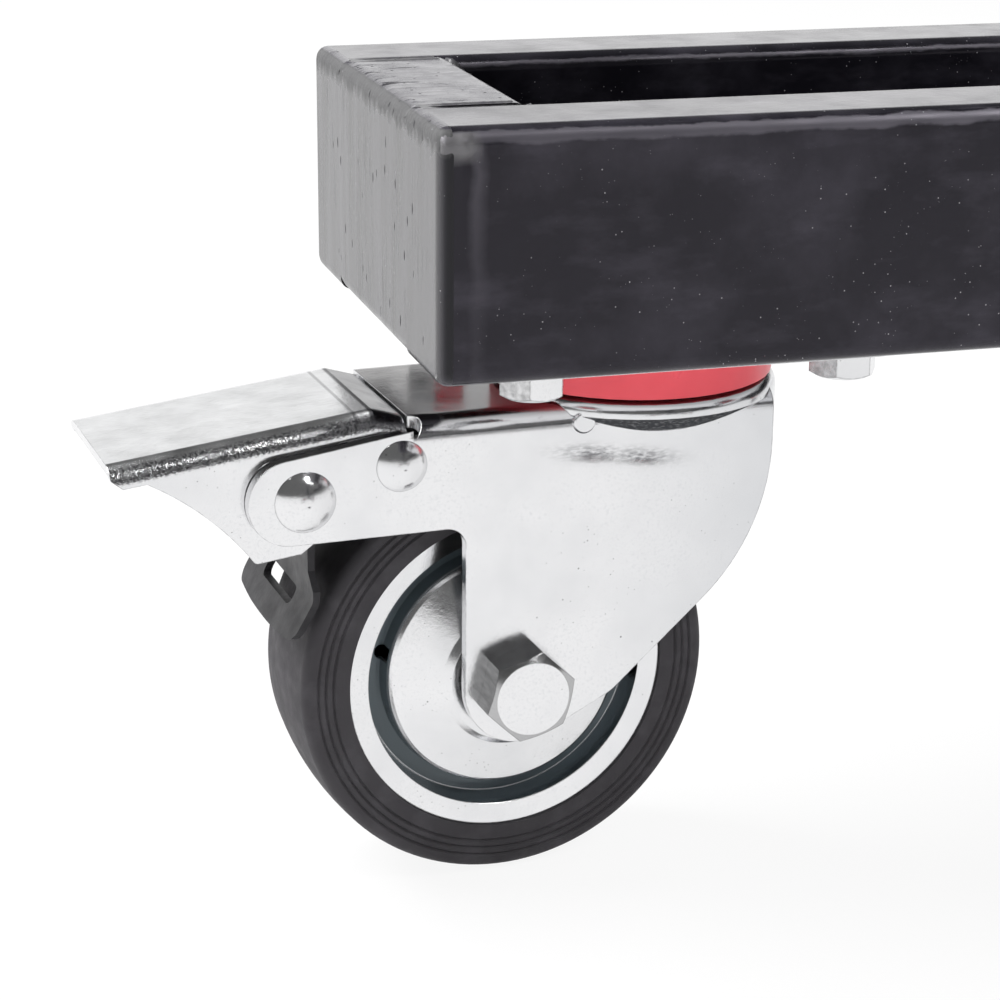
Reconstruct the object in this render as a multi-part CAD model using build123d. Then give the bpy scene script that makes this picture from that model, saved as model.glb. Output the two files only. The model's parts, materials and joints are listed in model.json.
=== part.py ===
from build123d import *
import os
from math import asin, atan2, cos, hypot, radians, sin, sqrt

# A two-tier mobile tyre rack. X runs from the front to the back, Y along the rack, Z up from the floor.
# The user stands in front, at -X, so left is +Y. All sizes are in millimetres and all angles in degrees.

# Clearances
running_gap = 0.05
seat_gap = 0.1
body_gap = 0.3
bolt_gap = 0.25

# Feet: two rectangular tubes side by side, closed at both ends by a short cross tube
rack_length = 1180.0
foot_length = 660.0
foot_width = 131.0
tube_height = 60.0
tube_width = 30.0
tube_wall = 2.5
tube_corner = 4.0
end_cap_thickness = 3.5
end_cap_round = 3.0

# Uprights, one in the gap of each foot, and the stretcher between them
upright_top = 1150.0
upright_depth = 70.0
upright_wall = 3.0
upright_corner = 5.0
upright_side_gap = 0.5
stretcher_rise = 6.0
stretcher_plate_thickness = 5.0
stretcher_plate_margin = 28.0

# Arms and the round rails that carry the tyres
arm_length = 420.0
arm_size = 40.0
arm_wall = 2.5
arm_corner = 4.0
rail_diameter = 42.4
rail_wall = 2.6
rail_end_inset = 40.0
rail_bite = 10.0
rail_overhang = 8.0
lower_rail_height = 400.0
upper_rail_height = 1090.0
plug_flange = 3.0
plug_depth = 14.0

# Frame fasteners
frame_bolt_diameter = 10.0
frame_bolt_flats = 16.0
frame_bolt_head = 6.4
frame_nut_height = 8.4
frame_bolt_spacing = 40.0
bolt_end = 4.0
turned_face_share = 0.46
turned_face_slope = 0.6
rail_bolt_diameter = 8.0
rail_bolt_flats = 13.0
rail_bolt_head_radius = 9.0
rail_bolt_head = 4.5
rail_nut_height = 6.8

# Castor plate and its bolts
castor_inset = 68.5
plate_length = 106.0
plate_width = 108.0
plate_thickness = 2.5
plate_corner = 8.0
plate_hole_pitch_x = 80.0
plate_hole_pitch_y = 89.0
castor_bolt_diameter = 10.0
castor_bolt_flats = 15.0
castor_bolt_head = 6.2
castor_bolt_turns = {-1: 11.0, 1: -2.0}
insert_radius = 6.2
insert_height = 14.0

# Swivel head
ball_count = 12
ball_radius = 3.5
race_radius = 26.0
race_land = 1.2
race_half_width = 5.0
race_ring_height = 5.8
king_pin_radius = 8.0
king_head_radius = 14.0
king_head_height = 3.0
king_flange_radius = 16.0
king_flange_height = 4.0
seal_radius = 36.5
seal_wall = 2.2
seal_lip_gap = 0.6

# Fork, pressed from one sheet
sheet = 3.0
dish_radius = 37.7
dish_shoulder = 3.5
dish_wall = 0.6
dish_cone_height = 6.1
dish_skirt = 6.0
crown_land_radius = 31.0
crown_step = 4.7
crown_slope = 2.0
web_step = 1.5
web_end = 68.1
fork_bend = 6.0
relief_radius = 2.6
leg_front = 28.4
front_edge_drop = 14.0
front_edge_radius = 55.0
front_edge_turn = 48.0
toe_forward = 24.5
toe_drop = 4.5
axle_boss_radius = 15.0
inner_corner_radius = 5.0
pip_radius = 2.9
pip_proud = 1.0
pip_round = 0.7
pip_back = 23.7
pip_drop = 10.5

# Wheel
wheel_radius = 55.7
tyre_width = 36.0
tyre_crown = 0.9
tyre_shoulder = 3.0
tyre_groove = 0.5
tyre_groove_count = 3
tyre_groove_pitch = 2.0
rim_lip_radius = 42.3
rim_seat_radius = 38.0
rim_sheet = 1.8
rim_lip_inset = 1.0
rim_groove_depth = 8.0
rim_groove_width = 4.2
rim_dome_inset = 1.8
rim_dome_round = 0.8
rim_hub_step_radius = 18.5
rim_collar_thickness = 4.3
rim_hole_radius = 2.0
rim_hole_angle = 168.0
castor_trail = 39.5
wheel_side_gap = 6.5
wheel_top_gap = 14.3
axle_bolt_diameter = 14.0
axle_bolt_flats = 21.0
axle_bolt_head = 8.8
axle_bolt_turn = -16.0
axle_nut_height = 11.0
sleeve_radius = 10.0
hub_radius = 13.5
hub_side_gap = 1.0

# Brake pedal and shoe. Pedal sizes are measured from its pivot, along and square to its flat top.
pedal_tilt = 6.8
pivot_behind_wheel = 0.3
pivot_below_web = 17.8
pedal_tip = 44.8
pedal_flat_end = 21.2
pedal_rear = 28.4
pedal_rear_drop = 3.1
pedal_rise = 17.2
pedal_sheet = 2.5
pedal_bend = 5.0
pedal_side_gap = 0.5
pedal_ear_drop = 14.2
pedal_ear_front = 13.5
pedal_ear_heel = 2.0
pedal_ear_rear = 11.0
pedal_ear_round = 4.0
pedal_skirt_depth = 5.5
pedal_skirt_start = 36.5
pedal_skirt_sag = 2.0
pivot_radius = 4.0
pivot_head_radius = 7.7
pivot_head_height = 3.4
arm_tilt = 8.0
arm_nose_radius = 10.8
arm_nose_forward = 3.4
leaf_rivet_radius = 3.5
leaf_rivet_head_radius = 6.5
leaf_rivet_head_height = 3.0
leaf_rivet_ahead = 24.4
leaf_rivet_above = 6.7
shoe_sheet = 1.8
shoe_width = 51.0
shoe_side_gap = 0.5
shoe_knee_ahead = 3.0
shoe_knee_drop = 12.3
shoe_flare_drop = 27.0
shoe_flare_out = 6.4
shoe_flare_down = 11.2
shoe_bend = 5.0
shoe_widening = 4.0
shoe_arch = 1.8
shoe_corner = 4.0
shoe_slot_length = 25.0
shoe_slot_height = 4.6
shoe_slot_corner = 2.0
shoe_slot_drop = 2.4

# Resting swivel angle of each castor, as it was left after the last push
castor_turns = {"front_left": 4.0, "front_right": -3.0, "rear_left": 2.0, "rear_right": -5.0}
braked_castors = ("front_left", "front_right")

# Heights in the castor's own frame: the underside of the foot is zero and the swivel axis is X = Y = 0
crown_top = -(plate_thickness + race_ring_height + 2 * race_land)
ball_height = crown_top + race_land
flange_top = crown_top - crown_step
web_top = flange_top - web_step
fork_inner = tyre_width / 2 + wheel_side_gap
fork_outer = fork_inner + sheet
axle_x = -castor_trail
axle_z = web_top - sheet - wheel_top_gap - wheel_radius
castor_height = wheel_radius - axle_z
pivot_x = axle_x - wheel_radius - pivot_behind_wheel
pivot_z = web_top - pivot_below_web
leaf_rivet_x = pivot_x + leaf_rivet_ahead
leaf_rivet_z = pivot_z + leaf_rivet_above

# Places in the rack
foot_bottom = castor_height
foot_middle = foot_bottom + tube_height / 2
foot_top = foot_bottom + tube_height
foot_tube_length = foot_length - 2 * end_cap_thickness
rail_spread = arm_length - 2 * rail_end_inset
foot_center_y = rack_length / 2 - foot_width / 2
upright_width = foot_width - 2 * tube_width - 2 * upright_side_gap
arm_y = foot_center_y - upright_width / 2 - arm_size / 2
stretcher_plate_height = tube_height + 2 * stretcher_plate_margin
stretcher_height = foot_top + stretcher_rise + stretcher_plate_height / 2
castor_x = foot_length / 2 - castor_inset


def solids_of(pieces):
    """All separate solids of a list of pieces, in order."""
    return [solid for piece in pieces for solid in piece.solids()]


def rounded_tube(length, width, height, wall, corner):
    """A hollow tube along X with rounded corners, centred on the origin."""
    outside = RectangleRounded(width, height, corner)
    inside = RectangleRounded(width - 2 * wall, height - 2 * wall, max(corner - wall, wall / 2))
    return extrude(Plane.YZ * (outside - inside), length / 2, both=True)


def hexagon(flats, height):
    """A hexagonal prism that stands on the XY plane."""
    return extrude(RegularPolygon(flats / 2, 6, major_radius=False), height)


def turned_hexagon(flats, height):
    """A hexagonal head standing on the XY plane, with its upper corners turned off."""
    corner = flats / sqrt(3)
    face = flats * turned_face_share
    slope = (corner - face) * turned_face_slope
    blank = Pos(0, 0, (height - slope) / 2) * Cylinder(corner, height - slope)
    top = Pos(0, 0, height - slope / 2) * Cone(corner, face, slope)
    return hexagon(flats, height) & (blank + top)


def hex_bolt(diameter, flats, head, length):
    """A bolt along Z: the head hangs below the XY plane and the shank rises above it."""
    shank = Pos(0, 0, length / 2) * Cylinder(diameter / 2, length)
    return Rot(180, 0, 0) * turned_hexagon(flats, head) + shank


def hex_nut(diameter, flats, height):
    """A nut that stands on the XY plane, with room for its bolt."""
    return hexagon(flats, height) - Cylinder(diameter / 2 + seat_gap, 3 * height)


def dome(radius, height):
    """A spherical cap that stands on the XY plane."""
    ball = (radius**2 + height**2) / (2 * height)
    cap = Pos(0, 0, height - ball) * Sphere(ball)
    return cap & (Pos(0, 0, height / 2) * Cylinder(radius, height))


def along_y(piece):
    """Turn a piece that points along +Z so that it points along +Y."""
    return Rot(-90, 0, 0) * piece


# Frame


def foot_tube_y(side, place):
    """Middle of a foot's outer or inner tube."""
    offset = (foot_width - tube_width) / 2
    return side * (foot_center_y + (offset if place == "outer" else -offset))


def castor_bolt_points():
    """Every castor bolt on the underside of the feet, turned as its spanner left it."""
    points = []
    for end in (-1, 1):
        for side in (-1, 1):
            middle = Pos(end * castor_x, side * foot_center_y, foot_bottom)
            for row, turn in castor_bolt_turns.items():
                for dy in (-plate_hole_pitch_y / 2, plate_hole_pitch_y / 2):
                    points.append(middle * Pos(row * plate_hole_pitch_x / 2, dy, 0) * Rot(0, 0, turn))
    return points


def frame_bolt_rows():
    """Bolts that run along Y: x, z, the side of the rack, the nearer and the farther clamped face."""
    inner_face = foot_center_y - upright_width / 2
    outer_face = foot_center_y + upright_width / 2
    half = frame_bolt_spacing / 2
    plate_rows = (tube_height + stretcher_plate_margin) / 2
    rows = []
    for side in (-1, 1):
        for x in (-half, half):
            rows.append((x, foot_middle, side, foot_center_y - foot_width / 2, foot_center_y + foot_width / 2))
            for rail_height in (lower_rail_height, upper_rail_height):
                rows.append((x, arm_center_z(rail_height), side, inner_face - arm_size, outer_face))
        for z in (stretcher_height - plate_rows, stretcher_height + plate_rows):
            rows.append((0, z, side, inner_face - stretcher_plate_thickness, outer_face))
    return rows


def arm_center_z(rail_height):
    """The arm's middle: the rail lies in a notch in its top."""
    return rail_height - rail_diameter / 2 + rail_bite - arm_size / 2


def make_foot_tube(side, place):
    """One long foot tube, drilled for the castor bolts and the upright's bolts."""
    y = foot_tube_y(side, place)
    tube = Pos(0, y, foot_middle) * rounded_tube(
        foot_tube_length, tube_width, tube_height, tube_wall, tube_corner
    )
    for point in castor_bolt_points():
        if abs(point.position.Y - y) < tube_width / 2:
            tube -= point * Cylinder(insert_radius + seat_gap, 4 * tube_wall)
    cross_hole = along_y(Cylinder(frame_bolt_diameter / 2 + bolt_gap, 2 * tube_width))
    for x in (-frame_bolt_spacing / 2, frame_bolt_spacing / 2):
        tube -= Pos(x, y, foot_middle) * cross_hole
    return tube


def make_cross_tubes():
    """Short tubes between the long ones, flush with the ends of both feet."""
    gap = foot_width - 2 * tube_width
    tube = Rot(0, 0, 90) * rounded_tube(gap, tube_width, tube_height, tube_wall, tube_corner)
    x = foot_length / 2 - tube_width / 2
    return [Pos(end * x, side * foot_center_y, foot_middle) * tube for end in (-1, 1) for side in (-1, 1)]


def make_end_caps():
    """Plates welded on the ends of the long tubes, ground flush with the cross tube and rounded outside."""
    blank = Rectangle(tube_width, tube_height)
    blank = fillet(blank.vertices().group_by(Axis.X)[-1], tube_corner)
    cap = extrude(Plane.YZ * blank, end_cap_thickness)
    outer_edges = cap.faces().sort_by(Axis.X)[-1].edges()
    joined = outer_edges.filter_by(Axis.Z).sort_by(Axis.Y)[0]
    cap = fillet(outer_edges - [joined], end_cap_round)
    caps = []
    for end in (-1, 1):
        for side in (-1, 1):
            for place in ("outer", "inner"):
                out = 1 if place == "outer" else -1
                turned = cap if end * side * out > 0 else mirror(cap, Plane.XZ)
                seat = Pos(end * foot_tube_length / 2, foot_tube_y(side, place), foot_middle)
                caps.append(seat * Rot(0, 0, 0 if end > 0 else 180) * turned)
    return caps


def make_upright(side):
    """A square tube that stands between the foot's two tubes, drilled across for its bolts."""
    length = upright_top - foot_bottom
    tube = Rot(0, 90, 0) * rounded_tube(
        length, upright_width, upright_depth, upright_wall, upright_corner
    )
    tube = Pos(0, side * foot_center_y, foot_bottom + length / 2) * tube
    hole = along_y(Cylinder(frame_bolt_diameter / 2 + bolt_gap, 2 * upright_width))
    for x, z, bolt_side, near, far in frame_bolt_rows():
        if bolt_side == side:
            tube -= Pos(x, side * foot_center_y, z) * hole
    return tube


def make_stretcher():
    """The low beam that ties the two uprights together."""
    length = 2 * (foot_center_y - upright_width / 2 - stretcher_plate_thickness)
    beam = Rot(0, 0, 90) * rounded_tube(length, tube_width, tube_height, tube_wall, tube_corner)
    return Pos(0, 0, stretcher_height) * beam


def make_stretcher_plates():
    """End plates of the stretcher, bolted to the inner faces of the uprights."""
    blank = RectangleRounded(upright_depth - 2 * upright_corner, stretcher_plate_height, upright_corner)
    plate = extrude(Plane.XZ * blank, stretcher_plate_thickness / 2, both=True)
    hole = along_y(Cylinder(frame_bolt_diameter / 2 + bolt_gap, 3 * stretcher_plate_thickness))
    offset = (tube_height + stretcher_plate_margin) / 2
    plate -= Pos(0, 0, offset) * hole
    plate -= Pos(0, 0, -offset) * hole
    y = foot_center_y - upright_width / 2 - stretcher_plate_thickness / 2
    return [Pos(0, side * y, stretcher_height) * plate for side in (-1, 1)]


def make_arms(rail_height):
    """Arms across the uprights, notched at both ends to seat the round rails."""
    z = arm_center_z(rail_height)
    arm = Pos(0, 0, z) * rounded_tube(arm_length, arm_size, arm_size, arm_wall, arm_corner)
    notch = along_y(Cylinder(rail_diameter / 2 + body_gap, 2 * arm_size))
    drop_hole = Cylinder(rail_bolt_diameter / 2 + bolt_gap, 4 * arm_size)
    cross_hole = along_y(Cylinder(frame_bolt_diameter / 2 + bolt_gap, 2 * arm_size))
    for end in (-1, 1):
        arm -= Pos(end * rail_spread / 2, 0, rail_height) * notch
        arm -= Pos(end * rail_spread / 2, 0, z) * drop_hole
        arm -= Pos(end * frame_bolt_spacing / 2, 0, z) * cross_hole
    return [Pos(0, side * arm_y, 0) * arm for side in (-1, 1)]


def rail_half_length():
    """Rails run past both arms by a short overhang."""
    return arm_y + arm_size / 2 + rail_overhang


def make_rail(end, rail_height):
    """A round tyre rail along the rack, drilled down at both arms."""
    ring = Circle(rail_diameter / 2) - Circle(rail_diameter / 2 - rail_wall)
    rail = extrude(Plane.XZ * ring, rail_half_length(), both=True)
    drop_hole = Cylinder(rail_bolt_diameter / 2 + bolt_gap, 2 * rail_diameter)
    for side in (-1, 1):
        rail -= Pos(0, side * arm_y, 0) * drop_hole
    return Pos(end * rail_spread / 2, 0, rail_height) * rail


def make_end_plugs():
    """Plastic plugs in the rails, the arms and both ends of the uprights."""
    plugs = []
    flange = along_y(Pos(0, 0, plug_flange / 2) * Cylinder(rail_diameter / 2, plug_flange))
    stem_radius = rail_diameter / 2 - rail_wall - seat_gap
    stem = along_y(Pos(0, 0, -plug_depth / 2) * Cylinder(stem_radius, plug_depth))
    round_plug = flange + stem
    square_plug = square_end_plug(arm_size, arm_size, arm_wall, arm_corner)
    for rail_height in (lower_rail_height, upper_rail_height):
        for end in (-1, 1):
            for side in (-1, 1):
                turn = Rot(0, 0, 0 if side > 0 else 180)
                place = Pos(end * rail_spread / 2, side * rail_half_length(), rail_height)
                plugs.append(place * turn * round_plug)
                place = Pos(end * arm_length / 2, side * arm_y, arm_center_z(rail_height))
                plugs.append(place * Rot(0, 90 * end, 0) * square_plug)
    upright_plug = square_end_plug(upright_depth, upright_width, upright_wall, upright_corner)
    for side in (-1, 1):
        plugs.append(Pos(0, side * foot_center_y, upright_top) * upright_plug)
        plugs.append(Pos(0, side * foot_center_y, foot_bottom) * Rot(180, 0, 0) * upright_plug)
    return plugs


def square_end_plug(size_x, size_y, wall, corner):
    """A plug for a square tube: a flange that covers the end and a stem inside it, pointing along Z."""
    flange = extrude(RectangleRounded(size_x, size_y, corner), plug_flange)
    inner = max(corner - wall, wall / 2)
    room = 2 * (wall + seat_gap)
    stem = extrude(RectangleRounded(size_x - room, size_y - room, inner), -plug_depth)
    return flange + stem


def make_frame_bolts():
    """Cross bolts of the uprights, arms and stretcher, and the round-headed bolts of the rails."""
    bolts = []
    for x, z, side, near, far in frame_bolt_rows():
        length = far - near + frame_nut_height + bolt_end
        bolt = hex_bolt(frame_bolt_diameter, frame_bolt_flats, frame_bolt_head, length)
        turn = Rot(90, 0, 0) if side > 0 else Rot(-90, 0, 0)
        bolts.append(Pos(x, side * far, z) * turn * bolt)
    for place, drop in rail_bolt_places():
        shank = Pos(0, 0, -drop / 2) * Cylinder(rail_bolt_diameter / 2, drop)
        bolts.append(place * (dome(rail_bolt_head_radius, rail_bolt_head) + shank))
    return bolts


def rail_bolt_places():
    """The top of each rail above an arm, and how far its bolt reaches down."""
    places = []
    for rail_height in (lower_rail_height, upper_rail_height):
        arm_bottom = arm_center_z(rail_height) - arm_size / 2
        drop = rail_height + rail_diameter / 2 - arm_bottom + rail_nut_height + bolt_end
        for end in (-1, 1):
            for side in (-1, 1):
                top = Pos(end * rail_spread / 2, side * arm_y, rail_height + rail_diameter / 2)
                places.append((top, drop))
    return places


def make_frame_nuts():
    """The nuts of all frame bolts."""
    nuts = []
    nut = hex_nut(frame_bolt_diameter, frame_bolt_flats, frame_nut_height)
    for x, z, side, near, far in frame_bolt_rows():
        turn = Rot(90, 0, 0) if side > 0 else Rot(-90, 0, 0)
        nuts.append(Pos(x, side * near, z) * turn * nut)
    small_nut = hex_nut(rail_bolt_diameter, rail_bolt_flats, rail_nut_height)
    for place, drop in rail_bolt_places():
        nuts.append(place * Pos(0, 0, -drop + bolt_end) * small_nut)
    return nuts


def make_castor_bolts():
    """Hexagon bolts that hold the castor plates, heads down."""
    length = insert_height + plate_thickness - tube_wall
    bolt = hex_bolt(castor_bolt_diameter, castor_bolt_flats, castor_bolt_head, length)
    return [point * Pos(0, 0, -plate_thickness) * bolt for point in castor_bolt_points()]


def make_castor_inserts():
    """Threaded inserts pressed into the underside of the foot tubes."""
    ring = Circle(insert_radius) - Circle(castor_bolt_diameter / 2 + seat_gap)
    insert = extrude(ring, insert_height)
    return [point * insert for point in castor_bolt_points()]


# Castor, each piece in the castor's own frame


def make_castor_plate():
    """Top plate with its bolt holes and the upper ball race on its underside."""
    plate = extrude(RectangleRounded(plate_length, plate_width, plate_corner), -plate_thickness)
    for x in (-plate_hole_pitch_x / 2, plate_hole_pitch_x / 2):
        for y in (-plate_hole_pitch_y / 2, plate_hole_pitch_y / 2):
            plate -= Pos(x, y, 0) * Cylinder(castor_bolt_diameter / 2 + bolt_gap, 4 * plate_thickness)
    ring = Circle(race_radius + race_half_width) - Circle(race_radius - race_half_width)
    plate += Pos(0, 0, -plate_thickness) * extrude(ring, -race_ring_height)
    plate -= Cylinder(king_pin_radius + seat_gap, 4 * plate_thickness)
    return plate - Pos(0, 0, ball_height) * Torus(race_radius, ball_radius + seat_gap)


def make_king_pin():
    """Riveted pin that holds the fork to the plate: head above, flange below the crown."""
    flange_top_z = crown_top - sheet - body_gap
    flange_low_z = flange_top_z - king_flange_height
    shank = Pos(0, 0, flange_low_z / 2) * Cylinder(king_pin_radius, -flange_low_z)
    flange = Pos(0, 0, flange_top_z - king_flange_height / 2) * Cylinder(
        king_flange_radius, king_flange_height
    )
    return dome(king_head_radius, king_head_height) + shank + flange


def make_balls():
    """The ring of bearing balls between the plate and the fork's crown."""
    ring = PolarLocations(race_radius, ball_count)
    return [Pos(0, 0, ball_height) * place * Sphere(ball_radius) for place in ring]


def make_seal():
    """Plastic dust seal that hangs from the plate round the ball race."""
    bottom = flange_top + seal_lip_gap
    ring = Circle(seal_radius) - Circle(seal_radius - seal_wall)
    return Pos(0, 0, bottom) * extrude(ring, -plate_thickness - bottom)


def dish_face():
    """Section of the round swivel head, filled, from the crown down to the foot of its cone."""
    flange_edge = dish_radius - dish_shoulder
    rim_top = flange_top - dish_shoulder
    rim_low = rim_top - dish_wall
    floor = rim_low - dish_cone_height
    upper = Polyline(
        (-dish_radius, crown_top),
        (crown_land_radius, crown_top),
        (crown_land_radius + crown_slope, flange_top),
        (flange_edge, flange_top),
    )
    bend = RadiusArc((flange_edge, flange_top), (dish_radius, rim_top), dish_shoulder)
    lower = Polyline(
        (dish_radius, rim_top),
        (dish_radius, rim_low),
        (fork_outer, floor),
        (-dish_radius, floor),
        (-dish_radius, crown_top),
    )
    return make_face(upper + bend + lower)


def spun(face):
    """Revolve the right half of a face round the swivel axis."""
    reach = 4 * dish_radius
    right_half = Rectangle(reach, 2 * reach, align=(Align.MIN, Align.CENTER))
    return revolve(Plane.XZ * (face & right_half), Axis.Z)


def tangent_point(point, center, radius, turn):
    """Where the line from a point touches a circle; turn picks one of the two sides."""
    dx = point[0] - center[0]
    dy = point[1] - center[1]
    reach = hypot(dx, dy)
    angle = atan2(dy, dx) + turn * (radians(90) - asin(radius / reach))
    return (center[0] + radius * cos(angle), center[1] + radius * sin(angle))


def side_outline(braked):
    """The fork seen from the side: the leg down to the axle and, if braked, the arm out to the pedal."""
    front = leg_front
    axle = (axle_x, axle_z)
    toe = (axle_x + toe_forward, axle_z - toe_drop)
    start = (front, web_top - front_edge_drop)
    turn = radians(front_edge_turn)
    swing = front_edge_radius
    bend_end = (front - swing * (1 - cos(turn)), start[1] - swing * sin(turn))
    bend_middle = (front - swing * (1 - cos(turn / 2)), start[1] - swing * sin(turn / 2))
    lower = tangent_point(toe, axle, axle_boss_radius, -1)
    left = (axle_x - axle_boss_radius, axle_z)
    low_angle = (atan2(lower[1] - axle_z, lower[0] - axle_x) + radians(-180)) / 2
    low_middle = (axle_x + axle_boss_radius * cos(low_angle), axle_z + axle_boss_radius * sin(low_angle))
    edge = Polyline((front, web_top), start)
    edge += ThreePointArc(start, bend_middle, bend_end)
    edge += Polyline(bend_end, toe, lower)
    edge += ThreePointArc(lower, low_middle, left)
    if not braked:
        back = (-dish_radius, web_top)
        back_low = (-dish_radius, web_top - front_edge_drop)
        edge += Polyline(left, back_low, back, (front, web_top))
        return fillet(make_face(edge).vertices().sort_by_distance((*toe, 0))[0], axle_boss_radius)
    nose = (pivot_x - arm_nose_forward, pivot_z)
    arm_low = pivot_z - arm_nose_radius
    lean = radians(arm_tilt)
    nose_top = (nose[0] - arm_nose_radius * sin(lean), nose[1] + arm_nose_radius * cos(lean))
    arm_rise = (-web_end - nose_top[0]) * sin(lean) / cos(lean)
    corner = (left[0], arm_low)
    edge += Polyline(left, corner, (nose[0], arm_low))
    edge += ThreePointArc((nose[0], arm_low), (nose[0] - arm_nose_radius, nose[1]), nose_top)
    edge += Polyline(nose_top, (-web_end, nose_top[1] + arm_rise), (-web_end, web_top), (front, web_top))
    face = make_face(edge)
    face = fillet(face.vertices().sort_by_distance((*corner, 0))[0], inner_corner_radius)
    return fillet(face.vertices().sort_by_distance((*toe, 0))[0], axle_boss_radius)


def folded_section(half_width, top, bottom, thickness, bend):
    """A downward channel of bent sheet, drawn across Y and Z."""
    outside = make_face(
        Polyline((-half_width, bottom), (-half_width, top), (half_width, top), (half_width, bottom), close=True)
    )
    outside = fillet(outside.vertices().group_by(Axis.Y)[-1], bend)
    inner = half_width - thickness
    roof = top - thickness
    inside = make_face(Polyline((-inner, bottom), (-inner, roof), (inner, roof), (inner, bottom), close=True))
    inside = fillet(inside.vertices().group_by(Axis.Y)[-1], max(bend - thickness, 0.5))
    return outside - inside


def make_skirt():
    """The front of the round head, drawn down between the two legs."""
    top = flange_top - dish_shoulder
    height = dish_wall + dish_skirt
    ring = Circle(dish_radius) - Circle(dish_radius - sheet)
    front = Rectangle(dish_radius, 2 * fork_inner + sheet, align=(Align.MIN, Align.CENTER))
    return Pos(0, 0, top) * extrude(ring & front, -height)


def make_fork(braked):
    """The pressed fork: round crown, two legs and, on a braked castor, the two pedal arms."""
    lowest = axle_z - 2 * axle_boss_radius
    back = web_end if braked else dish_radius
    section = folded_section(fork_outer, web_top, lowest, sheet, fork_bend)
    channel = extrude(Plane.YZ.offset(-back) * section, back + leg_front)
    arm_reach = abs(pivot_x) + 2 * arm_nose_radius
    for side in (-1, 1):
        slab = Box(arm_reach - back, sheet, web_top - lowest, align=(Align.MAX, Align.CENTER, Align.MAX))
        channel += Pos(-back, side * (fork_outer - sheet / 2), web_top) * slab
    outline = extrude(Plane.XZ * side_outline(braked), 2 * fork_outer, both=True)
    dish = spun(dish_face())
    hollow = spun(offset(dish_face(), -sheet))
    mouth_height = 2 * dish_cone_height
    mouth_top = flange_top - dish_shoulder - dish_wall - seat_gap
    mouth = Pos(0, 0, mouth_top - mouth_height / 2) * Box(3 * dish_radius, 2 * fork_inner, mouth_height)
    fork = (channel & outline) - (dish & mouth) + (dish - mouth) - hollow + make_skirt()
    button = Cylinder(pip_radius, sheet)
    button = fillet(button.edges().sort_by(Axis.Z)[-1], pip_round)
    bump = Pos(0, fork_outer + pip_proud - sheet / 2, 0) * along_y(button)
    for turn in (0, 180):
        fork += Pos(-pip_back, 0, crown_top - pip_drop) * Rot(0, 0, turn) * bump
    fork -= Pos(0, 0, crown_top) * Cylinder(king_pin_radius + running_gap, 4 * sheet)
    fork -= Pos(0, 0, ball_height) * Torus(race_radius, ball_radius + body_gap)
    fork -= Pos(axle_x, 0, axle_z) * along_y(Cylinder(axle_bolt_diameter / 2 + seat_gap, 3 * fork_outer))
    if braked:
        pivot_hole = along_y(Cylinder(pivot_radius + seat_gap, 3 * fork_outer))
        leaf_hole = along_y(Cylinder(leaf_rivet_radius + seat_gap, 3 * fork_outer))
        fork -= Pos(pivot_x, 0, pivot_z) * pivot_hole
        fork -= Pos(leaf_rivet_x, 0, leaf_rivet_z) * leaf_hole
        for side in (-1, 1):
            relief = Cylinder(relief_radius, 2 * sheet + relief_radius)
            fork -= Pos(-web_end, side * (fork_outer - relief_radius), web_top) * relief
    return fork


def make_axle():
    """Axle bolt with its head on the near leg and its nut on the far one."""
    length = 2 * fork_outer + axle_nut_height + bolt_end
    bolt = hex_bolt(axle_bolt_diameter, axle_bolt_flats, axle_bolt_head, length)
    nut = Pos(0, 0, 2 * fork_outer) * hex_nut(axle_bolt_diameter, axle_bolt_flats, axle_nut_height)
    turn = Rot(0, 0, axle_bolt_turn)
    return [Pos(axle_x, -fork_outer, axle_z) * along_y(turn * piece) for piece in (bolt, nut)]


def make_sleeve():
    """Bearing sleeve clamped between the fork's legs."""
    ring = Circle(sleeve_radius) - Circle(axle_bolt_diameter / 2 + seat_gap)
    return Pos(axle_x, 0, axle_z) * extrude(Plane.XZ * ring, fork_inner, both=True)


def make_hub():
    """The wheel's bush, which turns on the sleeve."""
    ring = Circle(hub_radius) - Circle(sleeve_radius + running_gap)
    return Pos(axle_x, 0, axle_z) * extrude(Plane.XZ * ring, fork_inner - hub_side_gap, both=True)


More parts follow.
